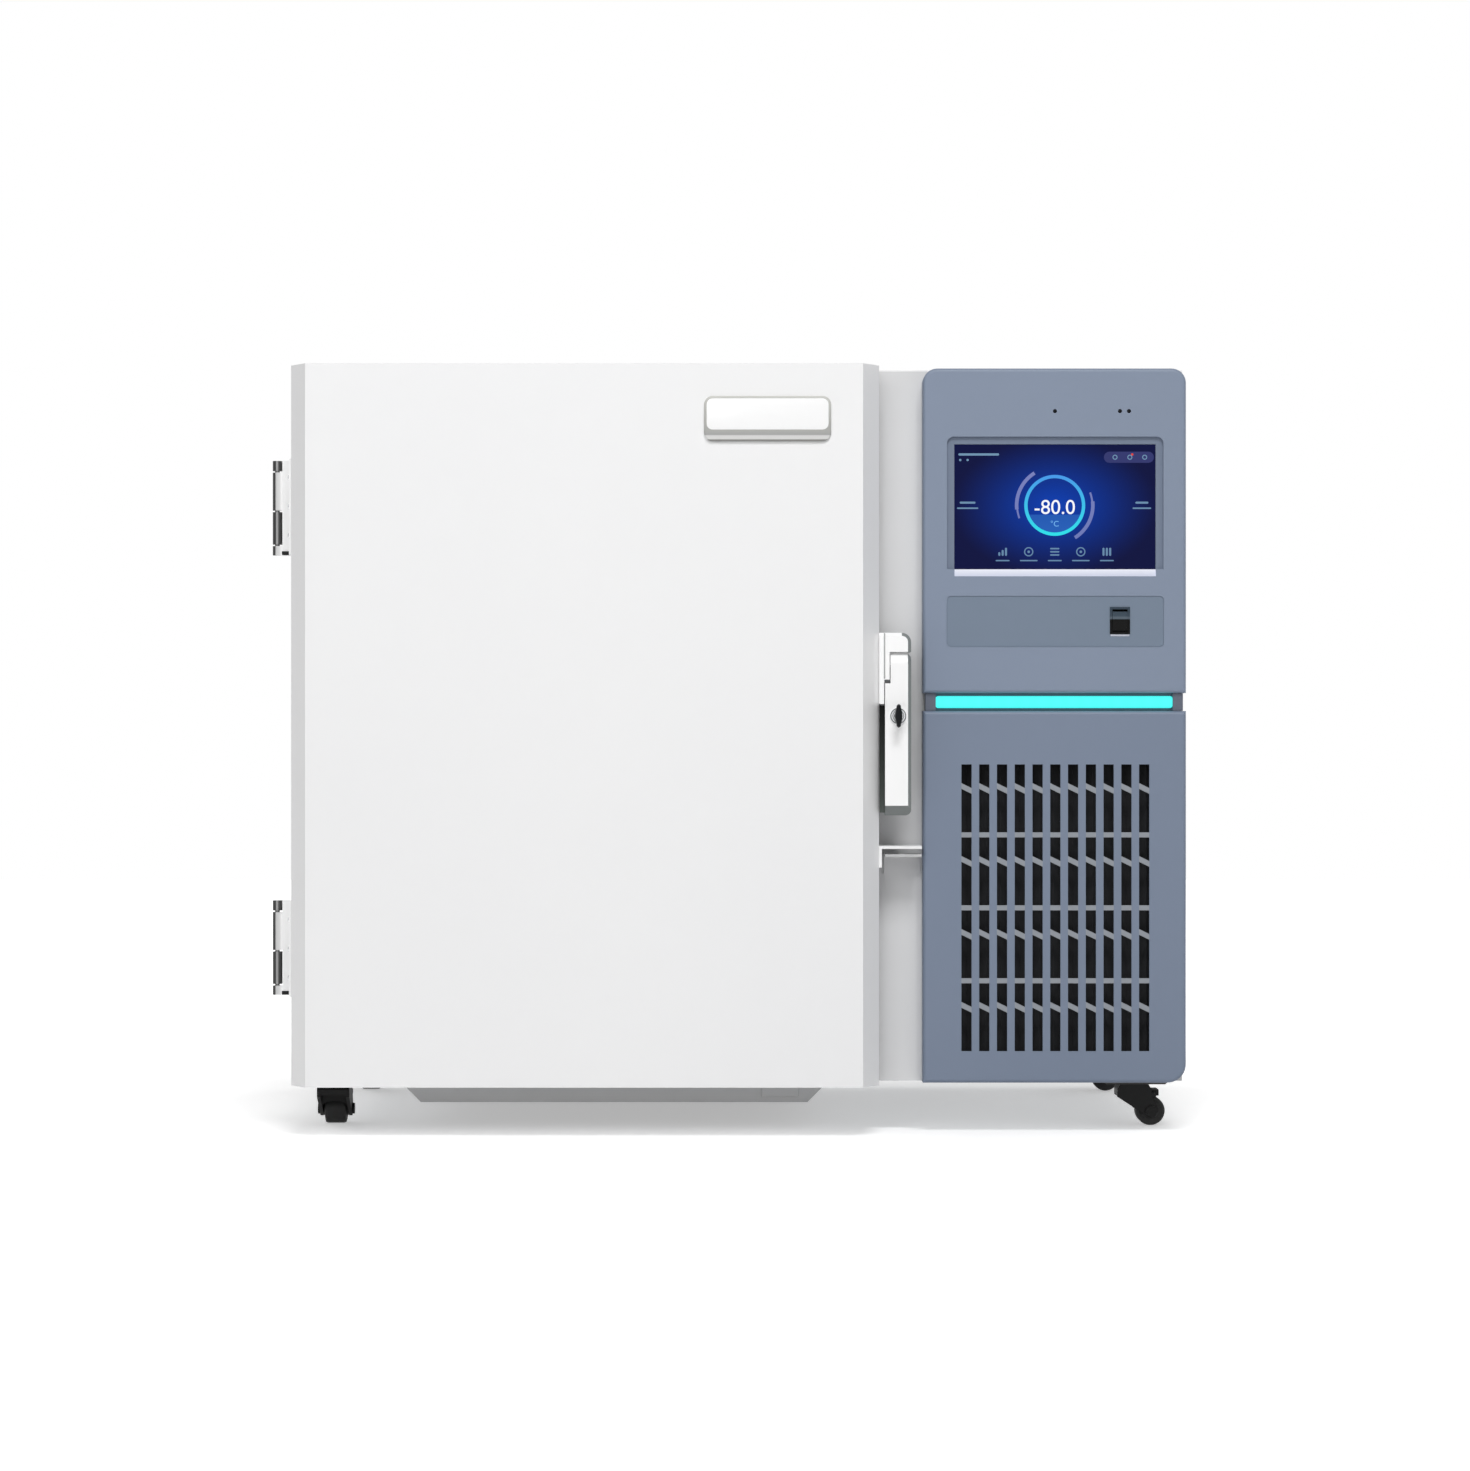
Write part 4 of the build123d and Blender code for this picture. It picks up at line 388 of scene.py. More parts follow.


# painted reflection and shade stacked up the piece: a colour ramp over the height, under a fine grain
def paintedLightBands(name, look, rough=0.35, shine=0.5):
    finish = Finish(name)
    _, _, z = finish.axes()
    rise = finish.ramp(z, look["low"], look["high"])
    grain = finish.noise(900, 2)
    return finish.shade(
        Base_Color=finish.tones(rise, look["tones"]),
        Roughness=rough + grain * 0.1,
        Specular_IOR_Level=shine,
        Normal=finish.bump(grain, 0.05, 0.1 * mm),
    )


# white lever with painted shade: grey on its bevel, flanks and lower band, white on its front face above the
# band and on its rounded top
def shadeGreyedLever(name, look):
    finish = Finish(name)
    x, y, z = finish.axes()
    rounded = (z > look["pivot"]) * (x < look["bevel"])
    face = ((y < look["front"]) * (z > look["low"])).calc("MAXIMUM", rounded)
    grain = finish.noise(1100, 2)
    slow = finish.noise(5, 2)
    grey = finish.blend(slow, tint(look["grey"]), tint(look["drift"]))
    white = finish.blend(slow, tint("ffffff"), tint("fbfbfb"))
    return finish.shade(
        Base_Color=finish.blend(face, grey, white),
        Roughness=0.35 + grain * 0.08,
        Normal=finish.bump(grain, 0.05, 0.1 * mm),
    )


# white latch base whose cap has painted shade, in grey, on the bevel round its outer corner: distance from
# the corner's centre
def cornerShadedBase(name, look):
    finish = Finish(name)
    x, _, z = finish.axes()
    over = (z - look["z"]).calc("MAXIMUM", 0.0)
    reach = ((x - look["x"]) ** 2 + over ** 2).calc("SQRT")
    bevel = (x > look["x"]) * (z > look["low"]) * (reach > look["radius"])
    grain = finish.noise(1100, 2)
    return finish.shade(
        Base_Color=finish.blend(bevel, tint("ffffff"), tint(look["grey"])),
        Roughness=0.35 + grain * 0.08,
        Normal=finish.bump(grain, 0.05, 0.1 * mm),
    )


screenMiddle = 351.85 * mm
recess = {"x": screenMiddle, "low": 600.4 * mm, "front": -279.8 * mm}  # shared by sill and well
screenLook = {
    "x": screenMiddle,
    "z": 676.5 * mm,
    "glowX": 112 * mm,
    "glowZ": 76 * mm,
    "navy": "10143f",
    "blue": "0a3fb0",
}
# painted highlight: the sill below the glass is coloured pale lavender
litSillLook = recess | {"half": 108.6 * mm, "high": 608.7 * mm, "pale": "f3f5ff", "dim": "cfd5e8"}
# painted shade: the recess round the glass is coloured darker than the bezel
shadedWellLook = recess | {"half": 116.8 * mm, "high": 751.5 * mm, "tone": "6b778b"}
barLook = {
    "x": 352.0 * mm,
    "reach": 102 * mm,
    "pitch": 19.14 * mm,
    "half": 5.5 * mm,
    "low": 89.3 * mm,
    "high": 398.0 * mm,
    "tone": "8d9299",
}
barrelLook = {
    "leaf": -482.4 * mm,
    "barrel": -483.2 * mm,
    "far": -493 * mm,
    "near": -483 * mm,
    "paint": "ffffff",
}
# painted reflection and shade across each barrel, from its dark left edge towards the leaf
doorBarrelReflection = [(0.0, "262626"), (0.3, "303030"), (0.4, "b8b8b8"), (0.8, "c8c8c8"), (1.0, "e6e6e6")]
cabinetBarrelReflection = [
    (0.0, "262626"),
    (0.36, "2c2c2c"),
    (0.46, "969696"),
    (0.6, "8a8a8a"),
    (0.7, "4a4a4a"),
    (1.0, "565656"),
]
# painted shade in the finger gap beside the lever: black under the latch base, paler lower down
linerLook = {"low": 350 * mm, "high": 462 * mm, "dark": "040404", "pale": "4e5350"}
# painted shade: the lever's bevel, flanks and lower band are coloured grey
leverShadeLook = {
    "front": -319.9 * mm,
    "low": 354.4 * mm,
    "pivot": 504.5 * mm,
    "bevel": 191.5 * mm,
    "grey": "7e8382",
    "drift": "777c7b",
}
# painted shade: grey on the bevel round the latch cap's outer corner
latchShadeLook = {"x": 185 * mm, "z": 529 * mm, "radius": 6.6 * mm, "low": 518 * mm, "grey": "7e8382"}
# painted reflection on the rocker and its frame: black on the lower half, a light line at the crest,
# blue-grey on the upper slope
rockerReflectionLook = {
    "low": 541 * mm,
    "high": 566 * mm,
    "tones": [
        (0.0, "060606"),
        (0.53, "070707"),
        (0.55, "59646f"),
        (0.64, "59646f"),
        (0.67, "414e5a"),
        (1.0, "3a4651"),
    ],
}
# painted reflection and shade up the nameplate's rim: a dark line at the lower edge, a pale band on the
# ledge, grey above
rimShadeLook = {
    "low": 742 * mm,
    "high": 790 * mm,
    "tones": [
        (0.0, "7c7c79"),
        (0.035, "9b9b98"),
        (0.05, "dcdcda"),
        (0.12, "d6d6d5"),
        (0.14, "a4a4a3"),
        (0.22, "acaca9"),
        (0.9, "cbcbc6"),
    ],
}
lightLook = {"z": 465.4 * mm, "half": 6.5 * mm, "spotsPerMetre": 60, "lit": "56fffb", "dim": "3cf0ee"}

finishes = {
    "white_paint": powderCoat("whitePowderCoat", "f6f6f6", "f0f0f1"),
    # front frame's paint is greyer than the door's: partly its own paint, partly painted shade of the
    # recessed strip between door and bezel
    "frame_paint": powderCoat("framePowderCoat", "dfdfdf", "d8d8d9"),
    "grey_paint": powderCoat("greyPowderCoat", "dadada", "d2d2d3", 0.5),
    "galvanised": zincCoat("zincSheet", "c4c7ca", "8f9498"),
    "stainless": brushedMetal("brushedStainless", "cfcfcd", "a9a9a7"),
    "door_hinge": hingeSteel("doorHingeSteel", barrelLook | {"tones": doorBarrelReflection}),
    "cabinet_hinge": hingeSteel("cabinetHingeSteel", barrelLook | {"tones": cabinetBarrelReflection}),
    "lever_liner": gapShadePlastic("leverGapShadePlastic", linerLook),
    "chrome": brushedMetal("lockChrome", "d9dadb", "b4b6b8", (60, 60, 60), 0.14, 0.02),
    "black_paint": powderCoat("blackEnamel", "151515", "1d1d1d", 0.42, 0.09),
    "aluminium_fins": brushedMetal("finAluminium", "d4d5d6", "a7a9ab", (2, 2, 200), 0.35),
    "copper": brushedMetal("copperTube", "d08a62", "9c5a3c", (40, 40, 40), 0.3),
    "bezel_plastic": mouldedPlastic("bezelPlastic", "808ca0", "7c889c", accents=(shadedWell, litSill)),
    "grille_plastic": mouldedPlastic("grillePlastic", "768296", "727e92", accents=(greyBars,)),
    "label_plastic": mouldedPlastic("switchPlatePlastic", "707e90", "6d7b8d", 0.4, 0.06),
    "channel_plastic": mouldedPlastic("channelPlastic", "5d6371", "565c6a", 0.5),
    "white_plastic": mouldedPlastic("whitePlastic", "ffffff", "fafafa", 0.28, 0.03, 900, 0.25),
    "latch_plastic": cornerShadedBase("latchBasePlastic", latchShadeLook),
    "lever_plastic": shadeGreyedLever("leverPlastic", leverShadeLook),
    "seam_grey": mouldedPlastic("seamPlastic", "a9abaa", "a2a4a3", 0.5),
    "ring_grey": mouldedPlastic("lockRingPlastic", "6c6f70", "656869", 0.5, 0.05, 900, 0.0, 0.2),
    "nameplate_metal": paintedLightBands("plateRimMetal", rimShadeLook),
    "rocker_plastic": paintedLightBands("rockerPlastic", rockerReflectionLook, 0.3, 0.1),
    # painted highlight: pale strip under the switch frame
    "lip_highlight": mouldedPlastic("lipHighlightPlastic", "c4c8d4", "bcc0cc", 0.4),
    "screen": displayGlass("displayGlass", screenLook),
    "light_diffuser": litDiffuser("lightDiffuser", lightLook),
    "black_plastic": mouldedPlastic("blackPlastic", "0f0f0f", "151515", 0.42, 0.1, 1200, 0.0, 0.2),
    "gloss_black": mouldedPlastic("glossBlackPlastic", "0b0c0e", "101216", 0.3, 0.02, 900, 0.0, 0.12),
    "filter_media": filterFleece("filterFleece", "17181a", "2b2d31"),
    "foam": cellFoam("insulationFoam", "e6d9ac", "d2c18a"),
    "gasket_rubber": softRubber("gasketRubber", "c9cacb", "d8d8d8", 0.55),
    "black_rubber": softRubber("blackRubber", "141414", "242424"),
    "tread": softRubber("wheelTread", "111111", "202020", 0.6),
}
nodeFinish = {
    "front_frame": "frame_paint",
    "padlock_tab_cabinet": "frame_paint",
    "grille_panel": "grille_plastic",
    "hinge_leaves_door": "door_hinge",
    "hinge_leaves_cabinet": "cabinet_hinge",
    "handle_lever": "lever_plastic",
    "latch_base": "latch_plastic",
    "switch_frame": "rocker_plastic",
    "power_rocker": "rocker_plastic",
}
for name, node in nodes.items():
    node.data.materials.clear()
    node.data.materials.append(finishes[nodeFinish.get(name, slotOf[name])])
print("finishes:", len(finishes), "on", len(nodes), "nodes")


# quads between neighbouring points of a rows by columns grid, closed along each row
def gridFaces(rows, columns, closeRows=False):
    row = np.arange(rows if closeRows else rows - 1)[:, None]
    column = np.arange(columns)[None, :]
    nextRow, nextColumn = (row + 1) % rows, (column + 1) % columns
    corners = [
        row * columns + column,
        row * columns + nextColumn,
        nextRow * columns + nextColumn,
        nextRow * columns + column,
    ]
    return np.stack(np.broadcast_arrays(*corners), axis=-1).reshape(-1, 4).tolist()


# rings of points joined into a tube, with a flat end on its first and last ring
def ringShape(rings):
    count, around = rings.shape[:2]
    ends = [list(range(around))[::-1], list(range((count - 1) * around, count * around))]
    return rings.reshape(-1, 3), gridFaces(count, around) + ends


# rounded rectangle: four quarter circles of one radius, seen from the front
def roundedOutline(halfWidth, halfHeight, radius, perCorner=7):
    turn = np.linspace(0, math.pi / 2, perCorner)[None, :] + np.arange(4)[:, None] * math.pi / 2
    signX = np.array([1, -1, -1, 1])[:, None]
    signZ = np.array([1, 1, -1, -1])[:, None]
    x = signX * (halfWidth - radius) + radius * np.cos(turn)
    z = signZ * (halfHeight - radius) + radius * np.sin(turn)
    return np.stack([x.ravel(), z.ravel()], axis=-1)


# rounded rectangles at several depths joined into one solid: half width, half height, radius, y, lift
def frontLoft(center, rows, perCorner=7):
    rings = []
    for halfWidth, halfHeight, radius, y, *lift in rows:
        outline = roundedOutline(halfWidth, halfHeight, radius, perCorner)
        depth = np.full(len(outline), y)
        level = outline[:, 1] + center[1] + sum(lift)
        rings.append(np.stack([outline[:, 0] + center[0], depth, level], axis=-1))
    return ringShape(np.array(rings))


# flat arc with a rectangular section: radius and depth around the corners, angle along the arc
def arcShape(center, radii, angles, depths, steps=72):
    turn = np.linspace(*np.radians(angles), steps)[:, None]
    radius = np.array([radii[0], radii[1], radii[1], radii[0]])[None, :]
    y = np.array([depths[0], depths[0], depths[1], depths[1]])[None, :] + 0 * turn
    x = center[0] + radius * np.cos(turn)
    z = center[1] + radius * np.sin(turn)
    return ringShape(np.stack([x, y, z], axis=-1))


# profile of radius and height in millimetres, turned about a level axis:
# point = origin + axis * height + radius * (cos, sin)
def turnedShape(origin, axis, profile, around=56, scale=1.0):
    axis = np.array(axis, float)
    side = np.cross(axis, (0, 0, 1.0))
    other = np.cross(axis, side)
    turn = np.linspace(0, 2 * math.pi, around, endpoint=False)[None, :, None]
    radius, height = np.array(profile, float).T[:, :, None, None] * mm * scale
    return ringShape(np.array(origin) + axis * height + radius * (np.cos(turn) * side + np.sin(turn) * other))


# upright slab with a soft front edge: its left, right, low and high ends, the plane it is set on,
# its back and front measured from that plane, its corner and edge radii
def softSlab(span, plane, depths, radii):
    x0, x1, z0, z1 = span
    back, front = [plane + depth for depth in depths]
    corner, edge = radii
    halfX, halfZ = (x1 - x0) / 2, (z1 - z0) / 2
    turn = np.linspace(0, math.pi / 2, 5)
    rows = [(halfX, halfZ, corner, back)]
    for sunk, depth in zip(edge * (1 - np.cos(turn)), edge * (1 - np.sin(turn))):
        rows.append((halfX - sunk, halfZ - sunk, max(corner - sunk, 0.05 * mm), front + depth))
    return frontLoft(((x0 + x1) / 2, (z0 + z1) / 2), rows, 5)


def joined(shapes):
    points, faces, start = [], [], 0
    for shapePoints, shapeFaces in shapes:
        points.append(shapePoints)
        faces.extend([i + start for i in face] for face in shapeFaces)
        start += len(shapePoints)
    return np.concatenate(points), faces


# a mesh as a piece: on its body, in its slot, in place of the CAD nodes that it stands for
def showMesh(name, mesh, body, finish, replaced=()):
    mesh.materials.clear()
    mesh.materials.append(finish)
    piece = bpy.data.objects.new(name, mesh)
    bpy.context.scene.collection.objects.link(piece)
    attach(piece, body)
    if replaced:
        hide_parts(*replaced)


sharpDegrees = 30  # edges that turn by more stay sharp


def addPiece(name, body, shape, finish, replaced=()):
    points, faces = shape
    mesh = bpy.data.meshes.new(name)
    mesh.from_pydata(points.tolist(), [], faces)
    work = bmesh.new()
    work.from_mesh(mesh)
    bmesh.ops.recalc_face_normals(work, faces=work.faces)
    work.to_mesh(mesh)
    work.free()
    mesh.shade_smooth()
    mesh.set_sharp_from_angle(angle=math.radians(sharpDegrees))
    showMesh(name, mesh, body, finish, replaced)


def spanOf(node):
    low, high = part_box(node)
    return np.array(low), np.array(high)


def frontOf(node):
    return spanOf(node)[0][1]


# display, in millimetres from its middle: ring gauge with a plain number, plain symbols in a row,
# bars in place of words
display = {
    "number": "-80.0",
    "numberHeight": 22.0,
    "numberDrop": 0.7,
    "unit": "°C",
    "unitHeight": 8.5,
    "unitDrop": 18.6,
    "gaugeRise": 1.1,
    "fullTurn": (0, 359.9),
    "ring": (29.3, 32.9),
    "levelRadius": 29.2,
    "levelAngles": (200, 340),
    "levelDepths": (-0.05, 0.1),  # from the glass
    "outerArc": (39.2, 43.0),
    "outerAngles": ((122, 186), (-58, 6)),
    "innerArc": (39.6, 41.6),
    "innerAngles": ((186, 200), (6, 20)),
    "lift": 0.25,
    "ink": 0.2,
    "roundness": 0.99,  # corner radius as a share of a mark's half thickness
}
glassY = frontOf("touch_screen")
screenX, screenZ = screenLook["x"], screenLook["z"]
gaugeSpan = [screenZ + side * display["ring"][1] * mm for side in (-1, 1)]
displayWhite = screenInk("displayWhite", "ffffff", "f4f8ff")
displayCyan = screenInk("displayCyan", "2ce2ea", "4699ea", 1.0, gaugeSpan)
displayUnit = screenInk("displayUnit", "6fb2ee", "78baf2")
displayLevel = screenInk("displayLevel", "2561b8", "1444a4", 1.0, gaugeSpan)
displayLavender = screenInk("displayLavender", "6f7fc4", "8d93d2", 0.8)
displayTeal = screenInk("displayTeal", "6d93b8", "7fa6c6", 0.8)
displayPill = screenInk("displayPill", "2c3166", "34396f")
displayRed = screenInk("displayRed", "d8383c", "e04a40")


# front and back of an ink layer, each layer one lift before the one under it
def inkDepths(layer):
    front = glassY - layer * display["lift"] * mm
    return front, front + display["ink"] * mm


def inkSlab(x, z, halfWidth, halfHeight, layer=1):
    radius = min(halfWidth, halfHeight) * display["roundness"]
    rows = [(halfWidth * mm, halfHeight * mm, radius * mm, y) for y in inkDepths(layer)]
    return frontLoft((screenX + x * mm, screenZ + z * mm), rows, 5)


def inkArc(radii, angles, x=0.0, z=0.0, layer=1):
    center = (screenX + x * mm, screenZ + z * mm)
    return arcShape(center, [radius * mm for radius in radii], angles, inkDepths(layer))


# letter outlines as a mesh, stood up to face the front and centred at a level of the display
def inkText(name, words, height, z, finish):
    curve = bpy.data.curves.new(name, "FONT")
    curve.body = words
    curve.size = height * mm
    curve.align_x, curve.align_y = "CENTER", "CENTER"
    curve.extrude = display["ink"] * mm / 2
    writer = bpy.data.objects.new(name + "Curve", curve)
    bpy.context.scene.collection.objects.link(writer)
    bpy.context.view_layer.update()
    mesh = bpy.data.meshes.new_from_object(writer.evaluated_get(bpy.context.evaluated_depsgraph_get()))
    bpy.data.objects.remove(writer)
    mesh.name = name
    flat = np.zeros(len(mesh.vertices) * 3)
    mesh.vertices.foreach_get("co", flat)
    flat = flat.reshape(-1, 3)
    middle = (flat.max(0) + flat.min(0)) / 2
    stoodX = flat[:, 0] - middle[0] + screenX
    stoodY = inkDepths(1)[0] - flat[:, 2]
    stoodZ = flat[:, 1] - middle[1] + screenZ + z * mm
    mesh.vertices.foreach_set("co", np.stack([stoodX, stoodY, stoodZ], axis=-1).ravel())
    mesh.update()
    showMesh(name, mesh, "cabinet", finish)


def inkPiece(name, shapes, finish):
    addPiece(name, "cabinet", joined(shapes), finish)


inkText("readoutNumber", display["number"], display["numberHeight"], -display["numberDrop"], displayWhite)
inkText("readoutUnit", display["unit"], display["unitHeight"], -display["unitDrop"], displayUnit)
gaugeRise = display["gaugeRise"]
inkPiece("gaugeRing", [inkArc(display["ring"], display["fullTurn"], 0, gaugeRise)], displayCyan)
gaugeArcs = [inkArc(display["outerArc"], angles, 0, gaugeRise) for angles in display["outerAngles"]]
gaugeArcs += [inkArc(display["innerArc"], angles, 0, gaugeRise) for angles in display["innerAngles"]]
inkPiece("gaugeArcs", gaugeArcs, displayLavender)

# level in the gauge: the part of a disc under a chord, between two angles on its edge
levelTurn = np.linspace(*np.radians(display["levelAngles"]), 41)
levelX = screenX + display["levelRadius"] * mm * np.cos(levelTurn)
levelZ = screenZ + gaugeRise * mm + display["levelRadius"] * mm * np.sin(levelTurn)
levelPlanes = [np.full_like(levelX, glassY + depth * mm) for depth in display["levelDepths"]]
levelRings = [np.stack([levelX, plane, levelZ], axis=-1) for plane in levelPlanes]
inkPiece("gaugeLevel", [ringShape(np.array(levelRings))], displayLevel)

# symbols over underlines: rising columns, a dotted ring, lines, a dotted ring, even columns
icons = {
    "pitch": 28.1,
    "level": -49.0,
    "underline": (-9.5, 7.5, 0.7),  # rise, half width, half height
    "widened": 2.0,  # half width added to every second underline
    "columns": (-3.6, 0.0, 3.6),
    "columnHalf": 1.1,
    "rising": (2.0, 3.2, 4.4),  # half heights
    "even": (4.4, 4.4, 4.4),
    "lines": (-3.4, 0.0, 3.4),
    "line": (5.0, 0.8),
    "ring": (3.8, 5.0),
    "dot": (1.4, 1.4),
}
symbols = []
for place in range(-2, 3):
    symbolX, symbolZ = place * icons["pitch"], icons["level"]
    underRise, underHalf, underThick = icons["underline"]
    underHalf += place % 2 * icons["widened"]
    symbols.append(inkSlab(symbolX, symbolZ + underRise, underHalf, underThick))
    if abs(place) == 2:
        halfHeights = icons["rising"] if place < 0 else icons["even"]
        for offset, halfHeight in zip(icons["columns"], halfHeights):
            columnZ = symbolZ + halfHeight - max(halfHeights)
            symbols.append(inkSlab(symbolX + offset, columnZ, icons["columnHalf"], halfHeight))
    elif place == 0:
        symbols += [inkSlab(symbolX, symbolZ + rise, *icons["line"]) for rise in icons["lines"]]
    else:
        symbols.append(inkArc(icons["ring"], display["fullTurn"], symbolX, symbolZ))
        symbols.append(inkSlab(symbolX, symbolZ, *icons["dot"]))

# bars in place of words: x, z, half width, half height
wordBars = (
    (-94, 4, 8.5, 1.1),
    (-94, -2, 11.5, 0.8),
    (94, 4, 7.0, 1.1),
    (94, -2, 10.0, 0.8),
    (-82, 56, 22, 1.2),
    (-102, 50, 1.3, 1.3),
    (-94, 50, 1.3, 1.3),
)
symbols += [inkSlab(*bar) for bar in wordBars]
inkPiece("displaySymbols", symbols, displayTeal)

status = {"x": 80, "z": 53, "half": (27, 6), "places": (-15, 1, 17), "mark": (1.7, 2.7), "dot": (3.6, 3, 1.3)}
inkPiece("statusPill", [inkSlab(status["x"], status["z"], *status["half"])], displayPill)
markPlaces = [status["x"] + offset for offset in status["places"]]
statusMarks = [inkArc(status["mark"], display["fullTurn"], x, status["z"], 2) for x in markPlaces]
inkPiece("statusMarks", statusMarks, displayTeal)
dotX, dotZ, dotHalf = status["dot"]
alarmDot = inkSlab(status["x"] + dotX, status["z"] + dotZ, dotHalf, dotHalf, 2)
inkPiece("alarmDot", [alarmDot], displayRed)
print("display: ring gauge, number and symbols")

# nameplate, blank: white face in a satin rim, with a wide bevel along the lower edge;
# its rings are given in millimetres, by how far they are drawn in and by their depth
plate = {
    "corner": 9 * mm,
    "rim": 2.7 * mm,
    "ledge": 12.0 * mm,
    "inner": 6.2 * mm,
    "gap": 0.1 * mm,  # face to rim
    "outerRings": ((0, 0), (0, -2.4), (0.6, -3.2)),  # from the back
    "innerRings": ((-0.9, 0), (-0.3, 0), (0, 0.5)),  # from the front
    "faceRings": ((0.1, 0.7), (0.1, 0.3), (0.5, 0.15)),  # from the front
}
plateLow, plateHigh = spanOf("nameplate")
plateHalf = (plateHigh - plateLow) / 2
plateMiddle = (plateHigh + plateLow) / 2
plateAt = (plateMiddle[0], plateMiddle[2])
plateBack, plateFront = plateHigh[1], plateLow[1]
faceLift = (plate["ledge"] - plate["rim"]) / 2
outerHalf = (plateHalf[0], plateHalf[2])
faceHalf = (plateHalf[0] - plate["rim"], plateHalf[2] - (plate["rim"] + plate["ledge"]) / 2)


def plateRows(half, corner, plane, rings, lift=0.0):
    return [
        (half[0] - inset * mm, half[1] - inset * mm, corner - inset * mm, plane + depth * mm, lift)
        for inset, depth in rings
    ]


rimRows = plateRows(outerHalf, plate["corner"], plateBack, plate["outerRings"])
rimRows += plateRows(faceHalf, plate["inner"], plateFront, plate["innerRings"], faceLift)
faceRows = plateRows(faceHalf, plate["inner"] + plate["gap"], plateFront, plate["faceRings"], faceLift)
rimShape = frontLoft(plateAt, rimRows)
addPiece("plateRim", "door", rimShape, finishes["nameplate_metal"], ["nameplate"])
addPiece("plateFace", "door", frontLoft(plateAt, faceRows), finishes["white_plastic"])
print("nameplate: blank")

# handle: dark slab in the finger gap beside the lever, painted shade standing in for the gap's shadow; seam
# on the base
handle = {
    "liner": (161.4 * mm, 166.9 * mm, 347.0 * mm, 461.5 * mm),
    "linerDepths": (11 * mm, 4 * mm),
    "linerRadii": (0.6 * mm, 0.5 * mm),
    "seam": (165.7 * mm, 167.3 * mm, 490.0 * mm, 538.5 * mm),
    "seamDepths": (0.2 * mm, -0.15 * mm),
    "seamRadii": (0.3 * mm, 0.1 * mm),
}
linerShape = softSlab(handle["liner"], frontOf("handle_lever"), handle["linerDepths"], handle["linerRadii"])
addPiece("leverGapShade", "handle", linerShape, finishes["lever_liner"])
seamShape = softSlab(handle["seam"], frontOf("latch_base"), handle["seamDepths"], handle["seamRadii"])
addPiece("latchSeam", "door", seamShape, finishes["seam_grey"])

# key: a bow seen on edge, its half width a bump of cosine shape about the middle, its ends rounded off
# by a high power of the distance from the middle, on a turned stem
key = {
    "half": 12.6 * mm,
    "tip": 2.3 * mm,
    "waist": 3.8 * mm,
    "bumpReach": 0.7,
    "bumpPower": 0.8,
    "endPower": 14,  # the higher, the later the bow's ends round off
    "square": 0.4,  # power that squares the bow's section
    "stem": [(0.1, -1), (4.4, -1), (4.4, 3), (0.1, 3)],
    "plug": [(0.1, -20), (5.9, -20), (5.9, -0.6), (5.4, 0.1), (0.1, 0.1)],
    "ring": (7.5 * mm, 8.5 * mm),
    "ringDepths": (-0.1 * mm, 0.4 * mm),
}


# a wave whose flanks are pushed out: sign of it times a power of its size
def squared(wave):
    return np.sign(wave) * np.abs(wave) ** key["square"]


keyLow, keyHigh = spanOf("lock_key")
keyX, _, keyZ = (keyLow + keyHigh) / 2
barrelFront = frontOf("lock_barrel")
keyAt = (keyX, barrelFront, keyZ)
stemEnd = key["stem"][-1][1] * mm
bowRise = np.linspace(-1, 1, 33)[:, None]
bowTurn = np.linspace(0, 2 * math.pi, 24, endpoint=False)
bowBump = np.cos(np.clip(np.abs(bowRise) / key["bumpReach"], 0, 1) * math.pi / 2) ** key["bumpPower"]
bowEnd = np.clip(1.03 - np.abs(bowRise) ** key["endPower"], 0.1, 1)
bowHalf = (key["tip"] + (key["waist"] - key["tip"]) * bowBump) * bowEnd
bowDepth = (barrelFront - keyLow[1] - stemEnd) / 2
bowX = keyX + bowHalf * squared(np.cos(bowTurn))
bowY = keyLow[1] + bowDepth * (1 + bowEnd * squared(np.sin(bowTurn)))
bowZ = keyZ + key["half"] * bowRise + 0 * bowTurn
bowShape = ringShape(np.stack([bowX, bowY, bowZ], axis=-1))
keyShape = joined([bowShape, turnedShape(keyAt, (0, -1, 0), key["stem"], 32)])
addPiece("keyBow", "key", keyShape, finishes["gloss_black"], ["lock_key"])
addPiece("lockPlug", "key", turnedShape(keyAt, (0, -1, 0), key["plug"]), finishes["chrome"])
lockDepths = [barrelFront + depth for depth in key["ringDepths"]]
lockShape = arcShape((keyX, keyZ), key["ring"], (0, 360), lockDepths, 65)
addPiece("lockRing", "handle", lockShape, finishes["ring_grey"])
print("handle: liner, lock and key")

# switch: pale lip under its frame, a painted highlight where the frame's lower rim catches the light
switch = {
    "lip": (411.4 * mm, 431.8 * mm, 536.2 * mm, 538.5 * mm),
    "lipDepths": (0.3 * mm, -0.5 * mm),
    "lipRadii": (0.4 * mm, 0.3 * mm),
}
lipShape = softSlab(switch["lip"], frontOf("switch_panel"), switch["lipDepths"], switch["lipRadii"])
addPiece("switchLipHighlight", "cabinet", lipShape, finishes["lip_highlight"])

